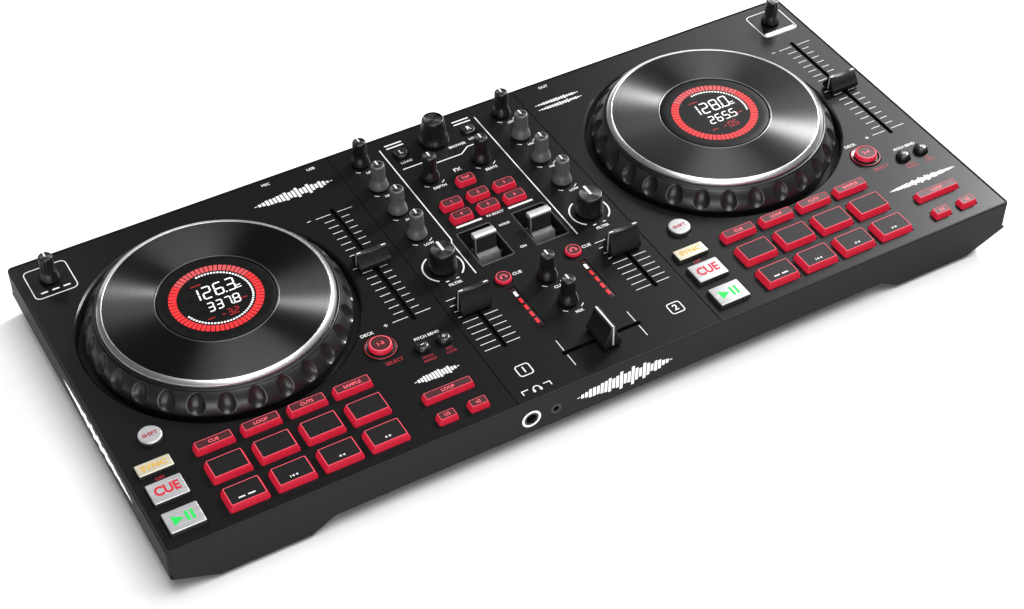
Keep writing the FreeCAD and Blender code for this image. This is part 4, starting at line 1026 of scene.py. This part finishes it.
def cap_outline(half, top):
    """Side view of a cap as (along travel, height) points, from one foot over the ridge to the other."""
    foot = CAP_BASE + CAP_FOOT
    side = [(half, CAP_BASE), (half, foot)]
    for i in range(1, SIDE_ROWS + 1):
        t = i / SIDE_ROWS
        hollow = 4 * CAP_HOLLOW * t * (1 - t)
        side.append((half + (RIDGE_HALF - half) * t - hollow, foot + (top - foot) * t - 0.5 * hollow))
    return side + [(-y, z) for y, z in reversed(side)]


def make_fader(node):
    low, high = solids(node, PANEL)[0]
    centre = (low + high) / 2
    size = high - low
    along_x = size.x < size.y
    half_base = max(size.x, size.y) / 2
    half_ridge = half_base - RIDGE_INSET
    top = high.z - PANEL
    outline = cap_outline(min(size.x, size.y) / 2, top)
    rings = []
    for column in range(CAP_COLUMNS + 1):
        v = 2 * column / CAP_COLUMNS - 1
        dip = DIP * max(0.0, 1 - (v * half_ridge / DIP_REACH) ** 2)
        ring = []
        for y, z in outline:
            share = (z - CAP_BASE) / (top - CAP_BASE)
            across = v * (half_base + (half_ridge - half_base) * share)
            height = CAP_BASE + (z - CAP_BASE) * (1 - dip * share / (top - CAP_BASE))
            if along_x:
                ring.append((centre.x - y, centre.y + across, PANEL + height))
            else:
                ring.append((centre.x + across, centre.y + y, PANEL + height))
        rings.append(ring)
    cap = Shape()
    cap.rings(rings)
    width, depth = reversed(STEM) if along_x else STEM
    cap.rings([[(centre.x + sx * width / 2, centre.y + sy * depth / 2, z) for sx, sy in CORNERS]
               for z in (box(node)[0].z, PANEL + CAP_BASE + 0.5)])
    cap.make(node + "_cap", [CAP_BLACK], node, "fader_cap", [node], centre, sharp=35, soft=(0.3, 40))
    make_fader_line(node, centre, along_x, half_ridge, top)


def make_fader_line(node, centre, along_x, half_ridge, top):
    """The white line: over the crossfader's whole ridge end, or at both ends of an upright fader's."""
    inner = -half_ridge if along_x else half_ridge - 2.9
    side = half_ridge + RIDGE_INSET * (1 - LINE_FOOT / top)
    stations = [(inner, top + LINE_RISE), (half_ridge - 0.35, top + LINE_RISE),
                (half_ridge + LINE_RISE, top - 0.3), (side + LINE_RISE, LINE_FOOT)]
    line = Shape()
    for sign in (-1,) if along_x else (-1, 1):
        sections = []
        for index, (across, height) in enumerate(stations):
            section = []
            for y, drop in ((-LINE_HALF, 0), (LINE_HALF, 0), (LINE_HALF, LINE_SUNK), (-LINE_HALF, LINE_SUNK)):
                reach = sign * (across - (drop if index > 1 else 0))
                z = PANEL + height - (drop if index < 2 else 0)
                if along_x:
                    section.append((centre.x + y, centre.y + reach, z))
                else:
                    section.append((centre.x + reach, centre.y + y, z))
            sections.append(section)
        line.rings(sections)
    line.make(node + "_line", [INKS["white"]], node, "fader_cap", centre=centre)


def make_faders():
    for side in SIDES:
        make_fader("pitch_fader_" + side)
        make_fader("channel_fader_" + side)
    make_fader("crossfader")


# --- paddles ---
BLADE_HALF = 6.9           # half the width of a paddle
BLADE_HIGHLIGHT = 0.7           # a painted highlight: a strip of the bar's light metal runs down the blade's left edge, this wide
AXLE_RADIUS = 1.5
WELL = (20.0, 29.0)        # the opening a paddle stands in


def prism(shape, outline, x0, x1, number=0):
    """A solid along x with an outline of (y, z) points."""
    shape.rings([[(x, y, z) for y, z in outline] for x in (x0, x1)], [number])


def disc_outline(y, z, radius, step):
    """(y, z) points round a circle, one every step degrees."""
    angles = [math.radians(t) for t in range(0, 360, step)]
    return [(y + radius * math.cos(t), z + radius * math.sin(t)) for t in angles]


def make_paddle(side):
    node = "effect_paddle_" + side
    low, high = box(node)
    joint = next(j for j in frame["joints"] if j["child"] == node)
    axis = Vector(joint["pos_m"]) / MM
    x0, x1 = axis.x - BLADE_HALF, axis.x + BLADE_HALF
    y, top = axis.y, high.z
    lever = Shape()
    prism(lever, disc_outline(y, axis.z, (high.y - low.y) / 2, 6), x0, x1, 1)
    prism(lever, disc_outline(y, axis.z, AXLE_RADIUS, 20), low.x, high.x, 1)
    blade = [(y - 2.0, axis.z + 4), (y + 2.8, axis.z + 4), (y + 2.6, top - 3.0), (y - 0.9, top - 1.2)]
    prism(lever, blade, x0 + 0.3, x1 - 0.3)
    finishes = [BLADE_GREY, DRUM_GREY]
    lever.make("effect_lever_" + side, finishes, node, "paddle_metal", [node], sharp=35, soft=(0.35, 50))
    bar = Shape()
    outline = [(y - 1.05, top - 1.7), (y + 2.3, top - 3.4), (y + 3.5, top - 2.9), (y + 4.3, top - 1.9),
               (y + 4.4, top - 1.1), (y + 4.0, top - 0.35), (y + 3.4, top), (y - 0.1, top),
               (y - 0.7, top - 0.3), (y - 1.05, top - 0.9)]
    prism(bar, outline, x0, x1)
    # painted highlight: a thin strip of light metal down the blade's left edge, where light catches it
    edge = [(y - 2.0, axis.z + 4), (y - 1.2, axis.z + 4), (y - 0.1, top - 1.4), (y - 1.0, top - 1.4)]
    prism(bar, edge, x0, x0 + BLADE_HIGHLIGHT)
    bar.make("effect_lever_bar_and_painted_highlight_" + side, [BAR_METAL], node, "paddle_metal", sharp=35, soft=(0.3, 50))
    bezel = Shape()
    width, depth = WELL
    levels = [(0.0, -0.6), (0.0, 0.1), (0.25, 0.3), (0.75, 0.3), (1.25, -0.1), (1.25, -0.6)]
    bezel.rings([rounded(axis, width + 2 * out, depth + 2 * out, 0.4 + out, PANEL + height)
                 for out, height in levels + levels[:1]], low=False, high=False)
    bezel.make("paddle_bezel_" + side, [BUTTON_SIDE], CHASSIS, "case_plastic")


# --- meters and sockets ---
def stepped(shape, centre, width, depth, corner, levels):
    """A block through its levels, each with an inset and a height z."""
    shape.rings([rounded(centre, width - 2 * inset, depth - 2 * inset, corner, z) for inset, z in levels])


METER_LAMPS = 5
LAMP_STEP = 5.9
LAMP_FIRST = 5.4           # from the meter's back end to the middle of its first lamp


def make_meters():
    lens = Shape()
    white = Shape()
    red = Shape()
    for low, high in solids("level_meters"):
        centre = (low + high) / 2
        stepped(lens, centre, high.x - low.x, high.y - low.y, 0.4,
                [(0.0, low.z), (0.0, high.z - 0.2), (0.2, high.z - 0.12)])
        for i in range(METER_LAMPS):
            place = (centre.x - 0.3, high.y - LAMP_FIRST - i * LAMP_STEP)
            stepped(red if i else white, place, 1.7, 3.8, 0.25,
                    [(0.0, high.z - 0.14), (0.0, high.z - 0.02), (0.1, high.z)])
    lens.make("meter_windows", [METER_LENS], CHASSIS, "lamp_plastic", ["level_meters"])
    white.make("meter_peak_lamps", [WHITE_LAMP], CHASSIS, "lamp_plastic")
    red.make("meter_lamps", [RING_LAMP], CHASSIS, "lamp_plastic")


# From a print's x and y to the front wall, and to the left wall with x running towards the user.
ON_FRONT = Matrix(((1, 0, 0, 0), (0, 0, -1, CASE_LOW.y), (0, 1, 0, 0), (0, 0, 0, 1)))
ON_LEFT = Matrix(((0, 0, -1, CASE_LOW.x), (-1, 0, 0, 0), (0, 1, 0, 0), (0, 0, 0, 1)))


def make_wall_marks():
    # both walls' marks use the wall ink, a painted glow: the print itself is no lamp
    jack = MOUNTS["headphone_jack_large"]
    front = Print(0.0)
    front.path(rounded((jack.x, jack.z), 10.0, 10.0, 5.0, 0, 8), 1.3, closed=True)
    front.wave((MIXER_X + 1.5, PANEL - 11.6), 58.0, 13.5, 25)
    front.lay(ON_FRONT)
    front.make("front_marks", [INKS["wall"]], CHASSIS, "case_plastic")
    left = Print(0.0)
    left.wave((20.0, PANEL - 9.5), 96.0, 10.5, 33, 0.85)
    left.lay(ON_LEFT)
    left.make("side_marks", [INKS["wall"]], CHASSIS, "case_plastic")


# --- print on the faceplate ---
LONGEST_CHANNEL = 80.0     # a longer track, less its ends, is a pitch fader's
TRACK_ENDS = 16.0          # what a track is longer than its fader's travel
SCALE_LINE = 0.42
PITCH_SCALE = dict(count=19, gap=2.2, reach=8.4, step=5.36)
CHANNEL_SCALE = dict(count=10, gap=2.0, reach=11.4, step=4.89)
PITCH_END = 48.4           # from a pitch fader's middle to its plus and minus
SIGN_HALF = 1.2


def print_crossfader_scale(ink, centre, travel):
    for x in (centre.x - travel / 2, centre.x + travel / 2):
        ink.upright(x, centre.y - 10.4, centre.y - 1.8, 0.45)
        ink.upright(x, centre.y + 1.8, centre.y + 10.4, 0.45)


def print_scale(ink, centre, pitch):
    """Lines on both sides of an upright fader; a pitch fader also has longer ones, a plus and a minus."""
    scale = PITCH_SCALE if pitch else CHANNEL_SCALE
    count, gap, reach = scale["count"], scale["gap"], scale["reach"]
    for i in range(count):
        y = centre.y + (i - (count - 1) / 2) * scale["step"]
        longer = pitch and i in (0, count // 2, count - 1)
        left = reach + 3.2 if longer else reach
        right = reach + 3.2 if longer else reach - 1.2
        ink.dash(centre.x - left, centre.x - gap, y, SCALE_LINE)
        ink.dash(centre.x + gap, centre.x + right, y, SCALE_LINE)
    if pitch:
        x, back, front = centre.x - reach - 7.4, centre.y + PITCH_END, centre.y - PITCH_END
        ink.dash(x - SIGN_HALF, x + SIGN_HALF, front, 0.5)
        ink.upright(x, front - SIGN_HALF, front + SIGN_HALF, 0.5)
        ink.dash(x - SIGN_HALF, x + SIGN_HALF, back, 0.5)


def print_fader_scales(ink):
    for low, high in solids("fader_tracks"):
        size = high - low
        travel = max(size.x, size.y) - TRACK_ENDS
        if size.x > size.y:
            print_crossfader_scale(ink, (low + high) / 2, travel)
        else:
            print_scale(ink, (low + high) / 2, travel > LONGEST_CHANNEL)


def print_knob_marks(ink):
    words = {"level": "LEVEL", "high": "HIGH", "mid": "MID", "low": "LOW"}
    for side in SIDES:
        for role, text in words.items():
            centre = middle(role + "_knob_" + side)
            for start in (225, 295):
                ink.arc(centre, 8.6, start, start + 20, 0.45, 6)
            ink.words(text, (centre.x + 2.5, centre.y - 9.8), 2.6)
        centre = middle("filter_knob_" + side)
        x, y = centre.x, centre.y
        for start in (115, 308):
            ink.arc(centre, 11.6, start, start + 117, 0.9, 40)
        ink.upright(x, y + 10.9, y + 12.6, 0.7)
        ink.dash(x - 4.2, x - 2.2, y - 11.4, 0.7)
        ink.dash(x + 2.2, x + 4.2, y - 11.4, 0.7)
        ink.words("FILTER", (x, y - 14.8), 2.8)
    for node, text in (("effect_depth_knob", "DEPTH"), ("effect_beats_knob", "BEATS"),
                       ("headphone_level_knob", "CUE"), ("headphone_mix_knob", "MIX")):
        centre = middle(node)
        for start in (220, 300):
            ink.arc(centre, 8.4, start, start + 20, 0.5, 6)
        ink.words(text, (centre.x + 1.5, centre.y - 10.0), 2.8)


def print_corner_boxes(ink):
    """A frame round each corner knob: three dashes under the left one, a solid block under the right one."""
    for node in ("mic_level_knob", "main_level_knob"):
        centre = middle(node)
        x, y = centre.x, centre.y
        ink.frame((x, y - 1.2), 24.4, 24.4, 3.0, 0.6)
        if node == "main_level_knob":
            for i in range(4):
                ink.dash(x - 11.0, x + 11.0, y - 10.0 - i, 1.02)
        else:
            for offset in (-6.4, 0.2, 6.6):
                ink.dash(x + offset - 2.0, x + offset + 2.0, y - 9.4, 1.1)


def print_mixer_lines(ink):
    """The two borders of the mixer and the line under the browse knob."""
    x_left = middle("filter_knob_left").x + 15.0
    x_right = middle("filter_knob_right").x - 15.9
    top = CASE_HIGH.y - 11.0
    paddles = middle("effect_paddle_left").y
    foot = paddles - 18.5
    jog = paddles + 12.5
    ink.path([(x_left, top), (x_left, jog), (x_left - 1.2, jog - 2.4), (x_left - 1.2, foot)], 0.7)
    ink.path([(x_right, top), (x_right, foot)], 0.7)
    x, y, _ = middle("browse_knob")
    under = y - 15.2
    ink.dash(x - 28.3, x - 14.5, under, 0.75)
    ink.path([(x - 8.2, under - 4.3), (x + 8.7, under - 4.3), (x + 14.7, under), (x + 20.1, under)], 0.75)
    ink.words("BROWSE", (x + 10.0, y - 11.2), 2.8)


def print_mixer(ink):
    print_mixer_lines(ink)
    ink.words("FX", (MIXER_X - 0.6, middle("effect_depth_knob").y - 1.5), 4.2)
    for solid in solids("load_buttons", PANEL):
        centre = centre_of(solid)
        ink.words("LOAD", (centre.x, centre.y - 7.6), 2.8)
        for row in (8.2, 11.0):
            ink.dash(centre.x - 5.6, centre.x + 5.6, centre.y + row, 1.0)
    paddles = middle("effect_paddle_left").y
    bars = paddles + 19.9
    for start, end in ((-25.5, -9.0), (8.5, 24.5)):
        ink.dash(MIXER_X + start, MIXER_X + end, bars, 1.5)
    ink.words("FX SELECT", (MIXER_X - 0.2, bars), 2.5, 0.95)
    ink.words("HOLD", (MIXER_X, paddles + 9.5), 2.5)
    ink.words("ON", (MIXER_X, paddles - 12.3), 2.5)
    for solid in solids("headphone_cue_buttons", PANEL):
        centre = centre_of(solid)
        ink.words("CUE", (centre.x + 9.2, centre.y + 0.8), 3.0)
    crossfader = max(solids("fader_tracks"), key=lambda b: b[1].x - b[0].x)
    y = centre_of(crossfader).y
    for side, number in zip(SIDES, "12"):
        x = middle("channel_fader_" + side).x
        ink.frame((x, y), 8.0, 8.0, 1.6, 0.65)
        ink.words(number, (x, y), 6.0)
    print_headphones(ink)


def print_headphones(ink):
    """The headphone mark between the two jacks, with a bracket towards each."""
    x = (MOUNTS["headphone_jack_large"].x + MOUNTS["headphone_jack_small"].x) / 2
    y = CASE_LOW.y + 7.5
    ink.arc((x, y), 2.0, 0, 180, 0.7, 16)
    for sign in (-1, 1):
        ink.upright(x + sign * 2.0, y - 1.8, y + 0.1, 1.3)
        end = x + sign * 8.4
        ink.path([(x + sign * 4.6, y + 1.6), (end, y + 1.6), (end, y - 1.2)], 0.6)


BEND_WORDS = (("PITCH", "RANGE"), ("KEY", "LOCK"))


def print_deck(ink, red, side):
    deck = JOG[side].x
    select = middle("deck_select_button_" + side)
    ink.words("DECK", (select.x - 2.0, select.y + 12.4), 3.0)
    red.words("SELECT", (select.x + 2.0, select.y - 12.6), 3.2)
    bends = sorted((b for b in solids("loop_and_bend_keys_" + side, PANEL) if is_dome(b)), key=left_end)
    between = (centre_of(bends[0]) + centre_of(bends[1])) / 2
    ink.words("PITCH BEND", (between.x, between.y + 7.6), 2.8, 0.95)
    for solid, texts in zip(bends, BEND_WORDS):
        for row, text in enumerate(texts):
            red.words(text, (centre_of(solid).x, solid[0].y - 2.6 - 2.6 * row), 2.3)
    sync = middle("sync_button_" + side)
    red.words("OFF", (sync.x, sync.y - 7.2), 2.8)
    if side == "left":
        ink.wave((deck + 82.6, select.y - 32.0), 25.0, 7.0, 15)
        ink.wave((deck + 78.5, CASE_HIGH.y - 21.3), 48.0, 9.0, 21)
    else:
        ink.wave((deck + 82.0, select.y - 33.0), 46.0, 4.6, 31)
        for row in (0, 1):
            ink.wave((deck - 65.7, CASE_HIGH.y - 20.4 - 4.6 * row), 29.0, 3.0, 17)


def print_back_labels(ink):
    y = CASE_HIGH.y - 6.0
    ink.words("MIC", (MOUNTS["microphone_jack"].x, y), 3.0)
    ink.words("USB", (MOUNTS["usb_socket"].x, y), 3.0)
    ink.words("OUT", ((MOUNTS["phono_output_left"].x + MOUNTS["phono_output_right"].x) / 2, y), 3.0)


def make_prints():
    ink = Print()
    red = Print()
    print_fader_scales(ink)
    print_knob_marks(ink)
    print_corner_boxes(ink)
    print_mixer(ink)
    print_back_labels(ink)
    for side in SIDES:
        print_deck(ink, red, side)
    ink.make("faceplate_print", [INKS["white"]], CHASSIS, "faceplate_metal")
    red.make("faceplate_red_print", [INKS["red"]], CHASSIS, "faceplate_metal")


# --- stage ---
CAMERA_PLACE = Vector((-0.40668, -0.70881, 0.77162))       # metres
CAMERA_AIM = Vector((-0.03048, -0.04769, 0.033))
CAMERA_LENS = 68.18
FLOOR_REACH = 6.0
LIGHTS = {                 # place, aim, size in metres and power in watts
    "panel_softbox": ((1.6, 1.35, 1.2), (0.2, 0.0, 0.03), (0.9, 0.6), 9),
    "side_softbox": ((1.6, 0.65, 1.2), (0.15, 0.0, 0.03), (0.3, 0.3), 60),
    "back_softbox": ((-0.3, 1.6, 1.25), (-0.15, 0.0, 0.03), (0.35, 0.35), 3),
    "front_softbox": ((-0.9, -1.5, 0.34), (0, 0, 0.03), (1.5, 0.3), 12),
    "overhead_softbox": ((0.15, -0.5, 2.1), (0.0, -0.1, 0), (2.0, 1.7), 58),
}


def make_floor():
    mesh = bpy.data.meshes.new("floor")
    mesh.from_pydata([(sx * FLOOR_REACH, sy * FLOOR_REACH, 0) for sx, sy in CORNERS], [], [(0, 1, 2, 3)])
    mesh.materials.append(surface("floor_white", (0.86, 0.86, 0.86), 0.7, grain=40, spread=0.01, bump=0))
    floor = bpy.data.objects.new("floor", mesh)
    bpy.context.scene.collection.objects.link(floor)


def aim_at(holder, place, aim):
    holder.location = place
    holder.rotation_mode = "QUATERNION"
    holder.rotation_quaternion = (Vector(aim) - Vector(place)).to_track_quat("-Z", "Y")
    bpy.context.scene.collection.objects.link(holder)


def make_light(name, place, aim, size, power):
    light = bpy.data.lights.new(name, "AREA")
    light.shape = "RECTANGLE"
    light.size, light.size_y = size
    light.energy = power
    aim_at(bpy.data.objects.new(name, light), place, aim)


def make_world():
    world = bpy.data.worlds.new("studio")
    bpy.context.scene.world = world
    world.use_nodes = True
    background = world.node_tree.nodes["Background"]
    background.inputs["Color"].default_value = (0.9, 0.92, 0.95, 1)
    background.inputs["Strength"].default_value = 0.16


def make_camera():
    lens = bpy.data.cameras.new("camera")
    lens.lens = CAMERA_LENS
    lens.sensor_width = 36.0
    lens.clip_start = 0.01
    lens.clip_end = 50.0
    camera = bpy.data.objects.new("camera", lens)
    aim_at(camera, CAMERA_PLACE, CAMERA_AIM)
    bpy.context.scene.camera = camera


def make_stage():
    make_floor()
    make_world()
    for name, (place, aim, size, power) in LIGHTS.items():
        make_light(name, place, aim, size, power)
    make_camera()
    bpy.context.scene.view_settings.view_transform = "Standard"


paint_cad_nodes()
for jog_side in SIDES:
    make_jog_wheel(jog_side)
    make_jog_plate(jog_side)
    make_display(jog_side)
    make_transport(jog_side)
    make_shift(jog_side)
    make_deck_select(jog_side)
    make_loop_and_bend(jog_side)
    make_pads(jog_side)
    make_paddle(jog_side)
make_effect_keys()
make_load_buttons()
make_cue_buttons()
make_knobs()
make_faders()
make_meters()
make_wall_marks()
make_prints()
make_stage()

bpy.context.view_layer.update()
